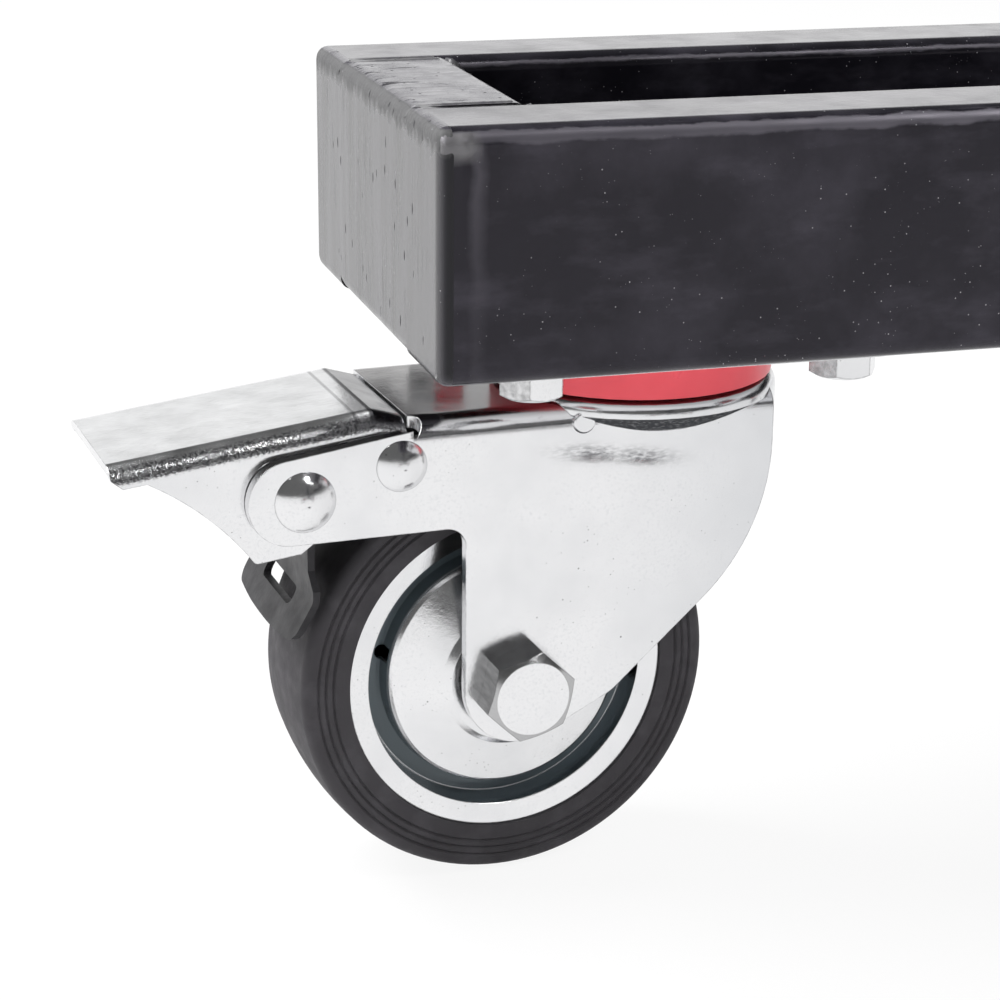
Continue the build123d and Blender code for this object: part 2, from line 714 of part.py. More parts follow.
def make_rims():
    """Two pressed steel discs back to back: lip, tyre seat, groove, dome and hub collar."""
    lip = tyre_width / 2 - rim_lip_inset
    groove = lip - rim_groove_depth
    dome_edge = lip - rim_dome_inset
    collar = fork_inner - hub_side_gap - rim_sheet
    collar_back = collar - rim_collar_thickness
    hub = hub_radius + seat_gap
    groove_out = rim_seat_radius - rim_sheet
    groove_in = groove_out - rim_groove_width
    dome_foot = groove_in - rim_dome_round
    inner_lip = lip - rim_sheet
    front = Polyline(
        (hub, collar),
        (rim_hub_step_radius - rim_sheet, collar),
        (rim_hub_step_radius, collar - rim_sheet),
        (dome_foot - rim_dome_round, dome_edge),
        (dome_foot, dome_edge - rim_dome_round),
        (groove_in, groove),
        (groove_out, groove),
        (rim_seat_radius - rim_sheet / 2, lip - rim_sheet / 2),
        (rim_lip_radius, lip),
        (rim_lip_radius, inner_lip),
        (rim_seat_radius, inner_lip - rim_sheet / 2),
        (rim_seat_radius, seat_gap),
        (groove_out, seat_gap),
        (groove_out, groove - rim_sheet),
        (groove_in - rim_sheet / 2, groove - rim_sheet),
        (dome_foot - rim_sheet, dome_edge - rim_sheet - rim_dome_round),
        (rim_hub_step_radius - rim_sheet, collar_back),
        (hub, collar_back),
        close=True,
    )
    disc = revolve(make_face(front), Axis.Y)
    hole = along_y(Cylinder(rim_hole_radius, 4 * rim_sheet))
    for angle in (rim_hole_angle, rim_hole_angle + 180):
        turn = radians(angle)
        disc -= Pos(groove_in * cos(turn), groove, groove_in * sin(turn)) * hole
    far_disc = Pos(axle_x, 0, axle_z) * disc
    near_disc = Pos(axle_x, 0, axle_z) * Rot(0, 0, 180) * mirror(disc, Plane.YZ)
    return [far_disc, near_disc]


def make_tyre():
    """Rubber tyre with a slightly crowned tread, rounded shoulders and fine sidewall grooves."""
    half = tyre_width / 2
    seat = rim_seat_radius + seat_gap
    edge = wheel_radius - tyre_crown
    bead = half - rim_lip_inset - 1.5 * rim_sheet - seat_gap
    lip = rim_lip_radius + seat_gap
    lip_side = half - rim_lip_inset - rim_sheet - seat_gap
    shoulder = tyre_shoulder
    groove_top = edge - shoulder - tyre_groove_pitch / 2
    right = [(seat, bead), (lip, lip_side), (lip + seat_gap, half)]
    for index in reversed(range(tyre_groove_count)):
        middle = groove_top - index * tyre_groove_pitch
        right.append((middle - tyre_groove, half))
        right.append((middle, half - tyre_groove))
        right.append((middle + tyre_groove, half))
    right.append((edge - shoulder, half))
    left = [(radius, -side) for radius, side in reversed(right)]
    tread = ThreePointArc((edge, half - shoulder), (wheel_radius, 0), (edge, shoulder - half))
    face = make_face(
        Polyline(*right)
        + RadiusArc((edge - shoulder, half), (edge, half - shoulder), shoulder)
        + tread
        + RadiusArc((edge, shoulder - half), (edge - shoulder, -half), shoulder)
        + Polyline(*left, right[0])
    )
    return Pos(axle_x, 0, axle_z) * revolve(face, Axis.Y)


def in_pedal_frame(piece):
    """Place a piece drawn from the pivot, along and square to the pedal's flat top."""
    return Pos(pivot_x, 0, pivot_z) * Rot(0, -pedal_tilt, 0) * piece


def make_pedal():
    """The foot pedal: a flat top that ramps down at the rear and two ears that hang on the pivot."""
    half = fork_inner - pedal_side_gap
    roof = pedal_rise - pedal_skirt_depth
    section = folded_section(half, pedal_rise, -2 * pedal_ear_drop, pedal_sheet, pedal_bend)
    channel = extrude(Plane.YZ.offset(-pedal_tip) * section, pedal_tip + pedal_flat_end)
    ramp = Vector(pedal_rear - pedal_flat_end, 0, -pedal_rear_drop)
    channel += extrude(Plane.YZ.offset(pedal_flat_end) * section, ramp.length, dir=ramp)
    sag = pedal_skirt_sag * sqrt(0.5)
    ear_start = (-pedal_ear_front, -pedal_ear_drop)
    skirt_start = (-pedal_skirt_start, roof)
    middle = ((ear_start[0] + skirt_start[0]) / 2 + sag, (ear_start[1] + skirt_start[1]) / 2 + sag)
    heel = (pedal_ear_rear, -pedal_ear_drop / 2)
    edge = Polyline(
        skirt_start,
        (-pedal_tip + pedal_sheet, roof),
        (-pedal_tip, roof + pedal_sheet),
        (-pedal_tip, pedal_rise),
        (pedal_flat_end, pedal_rise),
        (pedal_rear, pedal_rise - pedal_rear_drop),
        (pedal_rear, roof - pedal_rear_drop),
        (pedal_flat_end, roof),
        (pedal_ear_rear, roof),
        heel,
        (-pedal_ear_heel, -pedal_ear_drop),
        ear_start,
    )
    edge += ThreePointArc(ear_start, middle, skirt_start)
    face = make_face(edge)
    face = fillet(face.vertices().sort_by_distance((*ear_start, 0))[0], pedal_sheet / 2)
    face = fillet(face.vertices().sort_by_distance((*heel, 0))[0], pedal_ear_round)
    pedal = channel & extrude(Plane.XZ * face, 2 * half, both=True)
    pedal -= along_y(Cylinder(pivot_radius + running_gap, 4 * half))
    return in_pedal_frame(pedal)


def make_shoe():
    """The brake leaf: an eye on its rivet, a knee under the pedal and a flared, slotted shoe at the tyre."""
    rivet = (leaf_rivet_x, leaf_rivet_z)
    eye = leaf_rivet_radius + running_gap
    knee = (pivot_x + shoe_knee_ahead, pivot_z - shoe_knee_drop)
    flare = (knee[0], pivot_z - shoe_flare_drop)
    tip = (flare[0] - shoe_flare_out, flare[1] - shoe_flare_down)
    start = tangent_point(knee, rivet, eye + shoe_sheet / 2, 1)
    path = FilletPolyline(start, knee, flare, tip, radius=shoe_bend)
    strip = make_face(offset(path, shoe_sheet / 2, kind=Kind.ARC, side=Side.BOTH))
    section = strip + Pos(*rivet) * Circle(eye + shoe_sheet) - Pos(*rivet) * Circle(eye)
    shoe = extrude(Plane.XZ * section, shoe_width, both=True)
    neck = fork_inner - pedal_side_gap - pedal_sheet - shoe_side_gap
    half = shoe_width / 2
    top = leaf_rivet_z + 2 * eye
    neck_low = pivot_z - hypot(pedal_ear_front, pedal_ear_drop) - shoe_side_gap
    wide_top = neck_low - shoe_widening
    corner_low = tip[1] + shoe_arch
    upper = [(half, corner_low), (half, wide_top), (neck, neck_low), (neck, top)]
    mirrored = [(-across, height) for across, height in reversed(upper)]
    edge = Polyline(*upper, *mirrored)
    edge += ThreePointArc((-half, corner_low), (0, tip[1]), (half, corner_low))
    face = make_face(edge)
    for side in (-1, 1):
        face = fillet(face.vertices().sort_by_distance((side * half, corner_low, 0))[0], shoe_corner)
    slot = RectangleRounded(shoe_slot_length, shoe_slot_height, shoe_slot_corner)
    face -= Pos(0, flare[1] - shoe_slot_drop) * slot
    return shoe & extrude(Plane.YZ * face, 2 * tip[0], both=True)


def make_rivet(shank_radius, head_radius, head_height):
    """A rivet across the fork's arms with a domed head on each side."""
    head = Pos(0, 0, fork_outer) * dome(head_radius, head_height)
    return along_y(Cylinder(shank_radius, 2 * fork_outer) + head + mirror(head, Plane.XY))


def make_rivets():
    """The pedal's pivot rivet and the smaller rivet that carries the brake leaf."""
    pivot = make_rivet(pivot_radius, pivot_head_radius, pivot_head_height)
    leaf = make_rivet(leaf_rivet_radius, leaf_rivet_head_radius, leaf_rivet_head_height)
    return [Pos(pivot_x, 0, pivot_z) * pivot, Pos(leaf_rivet_x, 0, leaf_rivet_z) * leaf]


# Assembly


def castor_place(corner):
    """Where a castor's own frame stands in the rack, at its resting angle."""
    end = -1 if corner.startswith("front") else 1
    side = 1 if corner.endswith("left") else -1
    return Pos(end * castor_x, side * foot_center_y, foot_bottom) * Rot(0, 0, castor_turns[corner])


def make_frame_nodes():
    """Every piece of the standing frame, by node name."""
    nodes = {}
    for name, side in (("left", 1), ("right", -1)):
        for place in ("outer", "inner"):
            nodes[f"{name}_foot_{place}_tube"] = [make_foot_tube(side, place)]
        nodes[f"{name}_upright"] = [make_upright(side)]
    nodes["foot_cross_tubes"] = make_cross_tubes()
    nodes["foot_end_caps"] = make_end_caps()
    nodes["stretcher"] = [make_stretcher()]
    nodes["stretcher_plates"] = make_stretcher_plates()
    for tier, rail_height in (("lower", lower_rail_height), ("upper", upper_rail_height)):
        nodes[f"{tier}_arms"] = make_arms(rail_height)
        nodes[f"{tier}_front_rail"] = [make_rail(-1, rail_height)]
        nodes[f"{tier}_rear_rail"] = [make_rail(1, rail_height)]
    nodes["end_plugs"] = make_end_plugs()
    nodes["frame_bolts"] = make_frame_bolts()
    nodes["frame_nuts"] = make_frame_nuts()
    nodes["castor_bolts"] = make_castor_bolts()
    nodes["castor_inserts"] = make_castor_inserts()
    return nodes


def make_castor_nodes():
    """Every castor piece, by node name. What stays with the frame and repeats is grouped."""
    nodes = {"dust_seals": [], "king_pins": [], "swivel_balls": []}
    plate = make_castor_plate()
    wheel = {"tyre": [make_tyre()], "rims": make_rims(), "hub": [make_hub()]}
    axle = {"axle_bolt": make_axle(), "axle_sleeve": [make_sleeve()]}
    brake = {"pedal": [make_pedal()], "brake_shoe": [make_shoe()], "brake_rivets": make_rivets()}
    forks = {True: {"fork": [make_fork(True)]}, False: {"fork": [make_fork(False)]}}
    for corner in castor_turns:
        place = castor_place(corner)
        braked = corner in braked_castors
        nodes[f"{corner}_castor_plate"] = [place * Rot(0, 0, -castor_turns[corner]) * plate]
        nodes["dust_seals"].append(place * make_seal())
        nodes["king_pins"].append(place * make_king_pin())
        nodes["swivel_balls"] += [place * ball for ball in make_balls()]
        local = forks[braked] | axle | wheel | (brake if braked else {})
        for piece, shapes in local.items():
            nodes[f"{corner}_{piece}"] = [place * shape for shape in shapes]
    return nodes


def move_to_origin(nodes):
    """Put the origin on the floor under the middle of the whole rack."""
    box = Compound(solids_of([piece for pieces in nodes.values() for piece in pieces])).bounding_box()
    shift = Pos(-(box.min.X + box.max.X) / 2, -(box.min.Y + box.max.Y) / 2, 0)
    return shift, {name: [shift * piece for piece in pieces] for name, pieces in nodes.items()}


shift, nodes = move_to_origin(make_frame_nodes() | make_castor_nodes())
os.makedirs("parts", exist_ok=True)
for name, pieces in nodes.items():
    export_step(Compound(solids_of(pieces)), f"parts/{name}.step")
print(len(nodes), "nodes, shifted by", shift.position)
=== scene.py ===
import json
from collections import namedtuple
from math import cos, exp, pi, sin, sqrt

import bmesh
import bpy
from mathutils import Matrix, Vector, noise


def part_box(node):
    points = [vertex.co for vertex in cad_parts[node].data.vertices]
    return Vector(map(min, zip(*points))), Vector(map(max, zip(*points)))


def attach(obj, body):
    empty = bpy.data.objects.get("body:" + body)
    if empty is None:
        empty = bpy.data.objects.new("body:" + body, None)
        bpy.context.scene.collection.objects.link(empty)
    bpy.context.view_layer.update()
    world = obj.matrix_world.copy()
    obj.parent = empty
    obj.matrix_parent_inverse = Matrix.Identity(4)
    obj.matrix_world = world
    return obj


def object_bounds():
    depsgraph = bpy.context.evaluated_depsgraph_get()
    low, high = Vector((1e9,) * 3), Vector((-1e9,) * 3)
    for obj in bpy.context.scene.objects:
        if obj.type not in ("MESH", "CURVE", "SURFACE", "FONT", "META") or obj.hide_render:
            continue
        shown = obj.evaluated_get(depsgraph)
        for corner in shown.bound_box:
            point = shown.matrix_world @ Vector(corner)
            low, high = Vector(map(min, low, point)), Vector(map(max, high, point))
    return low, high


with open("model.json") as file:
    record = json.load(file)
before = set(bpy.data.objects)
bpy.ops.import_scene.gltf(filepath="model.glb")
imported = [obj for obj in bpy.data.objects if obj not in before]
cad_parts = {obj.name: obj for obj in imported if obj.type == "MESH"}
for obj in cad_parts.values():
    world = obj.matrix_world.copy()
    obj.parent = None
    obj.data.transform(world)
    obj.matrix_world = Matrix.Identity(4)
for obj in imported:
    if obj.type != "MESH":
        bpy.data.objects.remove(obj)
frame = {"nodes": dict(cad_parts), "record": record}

# A mobile tyre rack. Lengths are in metres in the frame of the solids: X from front to back,
# Y along the rack, Z up. The photograph shows the front end of the left foot.

cad_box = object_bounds()
mm = 0.001
nodes = frame["nodes"]
sides = ("left", "right")
ends = ("front", "rear")
corners = ("front_left", "front_right", "rear_left", "rear_right")
braked_corners = ("front_left", "front_right")
x_axis, y_axis, z_axis = Vector((1, 0, 0)), Vector((0, 1, 0)), Vector((0, 0, 1))

# Photograph: the camera is placed from the near top corner of the foot
camera_from_corner = Vector((-0.144889, -0.551530, 0.102657))
camera_yaw = 0.28178
camera_pitch = 0.31947
camera_roll = 0.00826
focal_length_px = 2600
image_width_px = 1000
sensor_width = 36.0

# Colours, as linear values
black_paint = (0.009, 0.0085, 0.012)
worn_paint = (0.046, 0.043, 0.055)
# The weld grey is partly dull weld paint and partly painted light that lifts the shade in the weld grooves
dust_gray = (0.42, 0.41, 0.43)
painted_highlight_gray = (0.112, 0.106, 0.124)
weld_paint_and_light_gray = (0.105, 0.104, 0.108)
drop_haze_and_highlight_gray = (0.170, 0.168, 0.172)
paint_gloss = (0.94, 0.89, 1.0)
end_paint = (0.070, 0.069, 0.071)
ground_paint = (0.095, 0.095, 0.097)
bright_zinc = (0.82, 0.82, 0.83)
dull_zinc = (0.62, 0.63, 0.65)
pedal_zinc = (0.60, 0.605, 0.61)
top_reflection_zinc = (0.18, 0.176, 0.176)
ramp_shade_gray = (0.075, 0.075, 0.08)
bend_gray = (0.22, 0.22, 0.23)
facet_gray = (0.13, 0.13, 0.13)
edge_gray = (0.12, 0.12, 0.12)
under_crown_reflection_gray = (0.055, 0.057, 0.062)
dirt_and_reflection_gray = (0.16, 0.16, 0.17)
seal_red = (0.90, 0.085, 0.115)
seal_dark_red = (0.72, 0.045, 0.065)
groove_slate = (0.088, 0.112, 0.126)
pit_gray = (0.10, 0.10, 0.10)
rubber = (0.052, 0.049, 0.054)
rubber_dust = (0.088, 0.083, 0.092)
leaf_gray = (0.018, 0.017, 0.020)
leaf_edge = (0.080, 0.078, 0.082)
bearing_gray = (0.55, 0.55, 0.55)
grease_brown = (0.25, 0.23, 0.2)
plug_black = (0.018, 0.018, 0.019)
plug_gray = (0.035, 0.035, 0.037)
floor_white = (0.95, 0.95, 0.95)
floor_shade = tuple(0.98 * part for part in floor_white)

# Foot paint: places inward from the end face and up from the top. A painted highlight band follows each
# tube's upper edge, a painted highlight streak stands beside the end seam, a lighter grey at the weld drops
# is partly weld haze and partly painted highlight, and the end's top edge is ground.
highlight_bands = {"inner": (-4.2 * mm, -0.9 * mm), "outer": (-3.0 * mm, -1.6 * mm)}
band_low_softness = 0.8 * mm
band_high_softness = 0.4 * mm
streak_start = (6.2 * mm, 8.2 * mm)
streak_end = (8.8 * mm, 11.5 * mm)
streak_fade = (-44.0 * mm, -8.0 * mm)
streak_top = (-4.5 * mm, -3.0 * mm)
# The patch of lighter grey at the weld drops, partly weld haze and partly painted highlight
drop_patch_end = (7.0 * mm, 10.5 * mm)
drop_patch_low = (-8.5 * mm, -5.5 * mm)
drop_patch_top = (-1.6 * mm, -0.8 * mm)
ground_low = (-6.2 * mm, -3.4 * mm)
ground_top = (-0.7 * mm, -0.3 * mm)

# Foot welds: the roundings that they lie on, and how deep they reach into the tubes
tube_corner = 4.0 * mm
end_round = 3.0 * mm
weld_depth = 1.5 * mm
paint_skin = 0.03 * mm
buried = 0.05 * mm
foot_slot = 1
cap_slot = 2

# The bead beside the cross tube
bead_reach = 3.5 * mm
bead_crest = 0.25 * mm
bead_drop = 0.95 * mm
bead_foot = 1.5 * mm
bead_border = 1.2 * mm
bead_gap = 0.1 * mm
bead_overlap = 0.3 * mm
bead_start = 0.6 * mm
bead_fade_from = 4.0 * mm
bead_fade_length = 7.0 * mm
bead_ripple = 0.04 * mm
bead_ripple_pitch = 2.3 * mm
bead_ripple_width = 1.2 * mm

# The hollow weld in the inner corner: heights from the top with the share of its radius there
fillet_radius = 5.5 * mm
fillet_levels = ((-0.3 * mm, 0.8), (-1.4 * mm, 0.95), (-4.5 * mm, 1.0))
fillet_bottom = 4.0 * mm

# The ground seam of the end plate on the tube's side
seam_rise = 0.3 * mm
seam_place = 8.2 * mm
seam_half = 5.0 * mm
seam_width = 2.1 * mm
seam_fade = 5.0 * mm
seam_waves = (3.1 * mm, 1.7 * mm)

# The strip that eases the step between the roundings of end plate and cross tube
ease_before = 3.0 * mm
ease_past = 0.6 * mm
ease_border = 0.5 * mm
ease_angles = (0.05 * pi, 0.42 * pi)

# The drops at the top corner: place, width and height of each, and their way round the tube's corner
drops = ((1.5 * mm, 1.2 * mm, 0.5 * mm), (5.9 * mm, 1.9 * mm, 1.0 * mm))
drop_travel = 6.0 * mm
drop_field = (0.7 * mm, 10.0 * mm)
drop_margin = 5.0 * mm
drop_stretch = 1.25
drop_grain = 1.6 * mm

# Castor: the rim's groove by radius and depth, the two lobes of the press mark on the fork and the pedal's
# ramp, from the swivel axis and the foot's underside
rim_groove = (31.4 * mm, 36.2 * mm)
rim_groove_face = 14.0 * mm
press_marks = ((-21.0 * mm, 29.6 * mm), (-8.0 * mm, 31.6 * mm))
press_mark_size = (10.0 * mm, 2.3 * mm)
press_mark_depth = 0.4 * mm
press_mark_tilt = 0.12
# Where the painted shade that darkens the fork towards its front begins and ends
shaded_front = (-20.0 * mm, 28.0 * mm)
# Heights of the painted dark reflection in the hollow under the fork's round head
under_crown = (-27.0 * mm, -25.0 * mm)
ramp_start = -77.4 * mm
ramp_crease = ramp_start - 3.6 * mm
edge_round = 0.4 * mm
cut_edge = 0.5 * mm
worn_edge = 0.6 * mm

# Studio: light of its walls, of the bright wall at the back and of the dim room above them. The walls'
# rims, the back wall's rim, its edge and its glow are ranges of the direction's parts up and to the back.
wall_light = 1.0
back_light = 1.3
dim_light = 0.13
wall_rim = (0.06, 0.21)
back_rim = (0.34, 0.48)
back_edge = (-0.1, 0.5)
back_glow = (0.2, 0.9)
floor_half = 40.0
floor_gap = 0.2 * mm
floor_glow = 0.9

# Softboxes: place from the foot's corner, edge length and power in watts
softboxes = {
    "left_box": (Vector((-1.4, 0.9, 2.0)), 1.8, 130),
    "right_box": (Vector((1.0, -1.1, 1.6)), 0.8, 22),
}

Castor = namedtuple("Castor", "swivel axle forward across")


def foot_corner():
    """The near top corner of the left foot at its front end."""
    low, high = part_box("left_foot_inner_tube")
    return Vector((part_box("foot_end_caps")[0].x, low.y, high.z))


def castor_place(corner):
    """A castor's swivel and axle points, its forward direction and its axle's direction."""
    joints = {joint["name"]: joint for joint in frame["record"]["behaviour"]["joints"]}
    swivel = Vector(joints[f"{corner}_swivel_turn"]["pos_m"])
    axle = Vector(joints[f"{corner}_wheel_roll"]["pos_m"])
    across = Vector(joints[f"{corner}_wheel_roll"]["axis"])
    return Castor(swivel, axle, across.cross(z_axis), across)


def place_camera():
    """The photograph's camera."""
    level_part = cos(camera_pitch)
    forward = Vector((sin(camera_yaw) * level_part, cos(camera_yaw) * level_part, -sin(camera_pitch)))
    level = Vector((cos(camera_yaw), -sin(camera_yaw), 0))
    above = level.cross(forward)
    right = level * cos(camera_roll) + above * sin(camera_roll)
    up = above * cos(camera_roll) - level * sin(camera_roll)
    data = bpy.data.cameras.new("camera")
    data.sensor_width = sensor_width
    data.lens = focal_length_px / image_width_px * sensor_width
    camera = bpy.data.objects.new("camera", data)
    turn = Matrix((right, up, -forward)).transposed().to_4x4()
    camera.matrix_world = Matrix.Translation(foot_corner() + camera_from_corner) @ turn
    bpy.context.collection.objects.link(camera)
    bpy.context.scene.camera = camera


class Nodes:
    """A node tree that is filled step by step. Values are numbers, colours or sockets."""

    def __init__(self, tree):
        self.tree = tree

    def add(self, kind, **settings):
        node = self.tree.nodes.new(kind)
        for name, value in settings.items():
            setattr(node, name, value)
        return node

    def plug(self, value, socket):
        """Set a socket to a value or link it to another socket."""
        if isinstance(value, bpy.types.NodeSocket):
            self.tree.links.new(value, socket)
        else:
            socket.default_value = value

    def span(self, value, low, high, to_low=0.0, to_high=1.0, **settings):
        """Map a value from one range to another, held at both ends."""
        node = self.add("ShaderNodeMapRange", **settings)
        self.plug(value, node.inputs["Value"])
        for name, number in (("From Min", low), ("From Max", high), ("To Min", to_low), ("To Max", to_high)):
            node.inputs[name].default_value = number
        return node.outputs["Result"]

    def rise(self, value, low, high, most=1.0):
        return self.span(value, low, high, 0.0, most)

    def fall(self, value, low, high, most=1.0):
        return self.span(value, low, high, most, 0.0)

    def math(self, operation, first, second=0.0):
        node = self.add("ShaderNodeMath", operation=operation)
        self.plug(first, node.inputs[0])
        self.plug(second, node.inputs[1])
        return node.outputs["Value"]

    def chain(self, operation, first, *others):
        for other in others:
            first = self.math(operation, first, other)
        return first

    def times(self, *values):
        return self.chain("MULTIPLY", *values)

    def plus(self, *values):
        return self.chain("ADD", *values)

    def most(self, *values):
        return self.chain("MAXIMUM", *values)

    def minus(self, first, second):
        return self.math("SUBTRACT", first, second)

    def size(self, value):
        return self.math("ABSOLUTE", value)

    def vector_math(self, operation, *values, output="Vector"):
        node = self.add("ShaderNodeVectorMath", operation=operation)
        for value, socket in zip(values, node.inputs):
            self.plug(value, socket)
        return node.outputs[output]

    def dot(self, first, second):
        return self.vector_math("DOT_PRODUCT", first, second, output="Value")

    def part(self, vector, axis):
        """One coordinate of a vector."""
        node = self.add("ShaderNodeSeparateXYZ")
        self.plug(vector, node.inputs["Vector"])
        return node.outputs[axis]


class Finish(Nodes):
    """A material whose patterns follow the place on the object."""

    def __init__(self, name, color, roughness, metallic=0.0):
        self.material = bpy.data.materials.new(name)
        self.material.use_nodes = True
        super().__init__(self.material.node_tree)
        self.shader = self.tree.nodes["Principled BSDF"]
        self.shader.inputs["Base Color"].default_value = (*color, 1)
        self.shader.inputs["Roughness"].default_value = roughness
        self.shader.inputs["Metallic"].default_value = metallic
        self.place = self.add("ShaderNodeTexCoord").outputs["Object"]

    def stretched(self, scale, turn=(0, 0, 0)):
        """The place on the object, stretched along the axes."""
        mapping = self.add("ShaderNodeMapping")
        self.plug(self.place, mapping.inputs["Vector"])
        mapping.inputs["Scale"].default_value = scale
        mapping.inputs["Rotation"].default_value = turn
        return mapping.outputs["Vector"]

    def noise(self, scale, detail, place=None):
        node = self.add("ShaderNodeTexNoise")
        self.plug(place or self.place, node.inputs["Vector"])
        node.inputs["Scale"].default_value = scale
        node.inputs["Detail"].default_value = detail
        node.inputs["Roughness"].default_value = 0.55
        return node.outputs["Fac"]

    def patches(self, scale, detail, low, high, to_low=0.0, to_high=1.0, place=None):
        """Noise of a scale and detail, mapped from one range to another."""
        return self.span(self.noise(scale, detail, place), low, high, to_low, to_high)

    def specks(self, scale, inner, outer, place=None):
        """Round specks, whole up to an inner and gone from an outer share of their cell."""
        node = self.add("ShaderNodeTexVoronoi")
        self.plug(place or self.place, node.inputs["Vector"])
        node.inputs["Scale"].default_value = scale
        return self.fall(node.outputs["Distance"], inner, outer)

    def blend(self, amount, first, second):
        """Mix two colours by an amount."""
        node = self.add("ShaderNodeMix", data_type="RGBA")
        self.plug(amount, node.inputs["Factor"])
        for value, socket in ((first, node.inputs["A"]), (second, node.inputs["B"])):
            self.plug(value if isinstance(value, bpy.types.NodeSocket) else (*value, 1), socket)
        return node.outputs["Result"]

    def facing(self, direction):
        """How far the surface faces a direction at rest."""
        return self.dot(self.add("ShaderNodeTexCoord").outputs["Normal"], direction)

    def eased_normal(self, radius, samples):
        """The normal as if sharp edges were rounded by a radius."""
        bevel = self.add("ShaderNodeBevel", samples=samples)
        bevel.inputs["Radius"].default_value = radius
        return bevel.outputs["Normal"]

    def edge_lines(self, radius):
        """Lines along sharp edges, where an eased normal turns from the true one."""
        normal = self.add("ShaderNodeNewGeometry").outputs["Normal"]
        return self.fall(self.dot(self.eased_normal(radius, 6), normal), 0.9, 0.985)

    def color(self, value):
        self.plug(value, self.shader.inputs["Base Color"])

    def gloss(self, value):
        self.plug(value, self.shader.inputs["Specular IOR Level"])

    def rough(self, value):
        self.plug(value, self.shader.inputs["Roughness"])

    def metal(self, value):
        self.plug(value, self.shader.inputs["Metallic"])

    def bump(self, *layers, edge=0.0):
        """Stack bumps, each a height value and its depth, over edges eased by a radius."""
        normal = self.eased_normal(edge, 4) if edge else None
        for height, depth in layers:
            node = self.add("ShaderNodeBump")
            node.inputs["Strength"].default_value = 1.0
            node.inputs["Distance"].default_value = depth
            self.plug(height, node.inputs["Height"])
            if normal:
                self.plug(normal, node.inputs["Normal"])
            normal = node.outputs["Normal"]
        self.plug(normal, self.shader.inputs["Normal"])


def frame_paint_finish():
    """Gloss black paint with orange peel, dust specks and faint handling smudges."""
    paint = Finish("frame_paint", black_paint, roughness=0.2)
    smudge = paint.patches(22, 6, 0.48, 0.75, 0.0, 0.6)
    dust = paint.times(paint.specks(260, 0.035, 0.06), paint.patches(40, 2, 0.5, 0.6))
    paint.color(paint.blend(dust, paint.blend(smudge, black_paint, worn_paint), dust_gray))
    paint.rough(paint.patches(70, 6, 0.3, 0.7, 0.13, 0.26))
    paint.bump((paint.noise(300, 3), 0.02 * mm), (paint.noise(1800, 2), 0.003 * mm))
    return paint.material


def foot_paint_finish(name, band):
    """The paint of a foot's long tubes, with painted highlights along their upper edges and beside the end
    seams, and at the drops a lighter grey that is partly weld haze and partly painted highlight.
    """
    paint = Finish(name, black_paint, roughness=0.2)
    front, rear = (point.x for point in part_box("foot_end_caps"))
    along = paint.part(paint.place, "X")
    inward = paint.math("MINIMUM", paint.minus(along, front), paint.minus(rear, along))
    inward = paint.plus(inward, paint.patches(60, 4, 0.3, 0.7, -1.2 * mm, 1.2 * mm))
    up = paint.minus(paint.part(paint.place, "Z"), foot_corner().z)
    up = paint.plus(up, paint.patches(90, 4, 0.3, 0.7, -0.5 * mm, 0.5 * mm))
    band_low, band_high = band
    highlight_band = paint.times(
        paint.rise(up, band_low, band_low + band_low_softness),
        paint.fall(up, band_high - band_high_softness, band_high),
        paint.patches(45, 4, 0.3, 0.6, 0.65, 1.0),
    )
    seam_highlight = paint.times(
        paint.rise(inward, *streak_start),
        paint.fall(inward, *streak_end),
        paint.span(up, *streak_fade, 0.12, 0.5),
        paint.fall(up, *streak_top),
    )
    # At the weld drops a lighter grey: partly weld haze, partly painted highlight
    drop_haze_and_highlight = paint.times(
        paint.fall(inward, *drop_patch_end, 0.85),
        paint.rise(up, *drop_patch_low),
        paint.fall(up, *drop_patch_top),
    )
    smudge = paint.plus(
        paint.patches(34, 7, 0.46, 0.72, 0.0, 0.6),
        paint.patches(130, 5, 0.52, 0.72, 0.0, 0.45, paint.stretched((0.4, 1, 1))),
    )
    dots = paint.times(paint.specks(420, 0.05, 0.08), paint.patches(60, 2, 0.46, 0.54))
    fine_dots = paint.times(paint.specks(780, 0.05, 0.09), paint.patches(85, 3, 0.52, 0.6), 0.6)
    worn = paint.blend(smudge, black_paint, worn_paint)
    # Painted highlight: a lighter grey along the tube's upper edge and beside the end seam; at the drops a
    # lighter grey that is partly weld haze and partly painted highlight
    worn = paint.blend(paint.most(highlight_band, seam_highlight), worn, painted_highlight_gray)
    worn = paint.blend(drop_haze_and_highlight, worn, drop_haze_and_highlight_gray)
    paint.color(paint.blend(paint.most(dots, fine_dots), worn, dust_gray))
    paint.rough(paint.plus(paint.patches(70, 6, 0.3, 0.7, 0.13, 0.26), paint.times(highlight_band, 0.2)))
    paint.gloss(paint.span(paint.facing(z_axis), 0.3, 0.8, 0.34, 0.58))
    paint.shader.inputs["Specular Tint"].default_value = (*paint_gloss, 1)
    paint.bump((paint.noise(500, 3), 0.03 * mm), (paint.noise(1800, 2), 0.01 * mm))
    return paint.material


def weld_paint_finish():
    """Dull, uneven paint over the welds, in a grey that is partly the dull weld paint and partly painted
    light lifting the shade in the weld grooves.
    """
    paint = Finish("weld_paint", weld_paint_and_light_gray, roughness=0.35)
    paint.color(paint.blend(paint.patches(260, 5, 0.35, 0.7, 0.0, 0.7), weld_paint_and_light_gray, worn_paint))
    paint.rough(paint.patches(300, 4, 0.3, 0.7, 0.25, 0.45))
    paint.bump((paint.noise(700, 4), 0.08 * mm), (paint.noise(1800, 2), 0.02 * mm))
    return paint.material


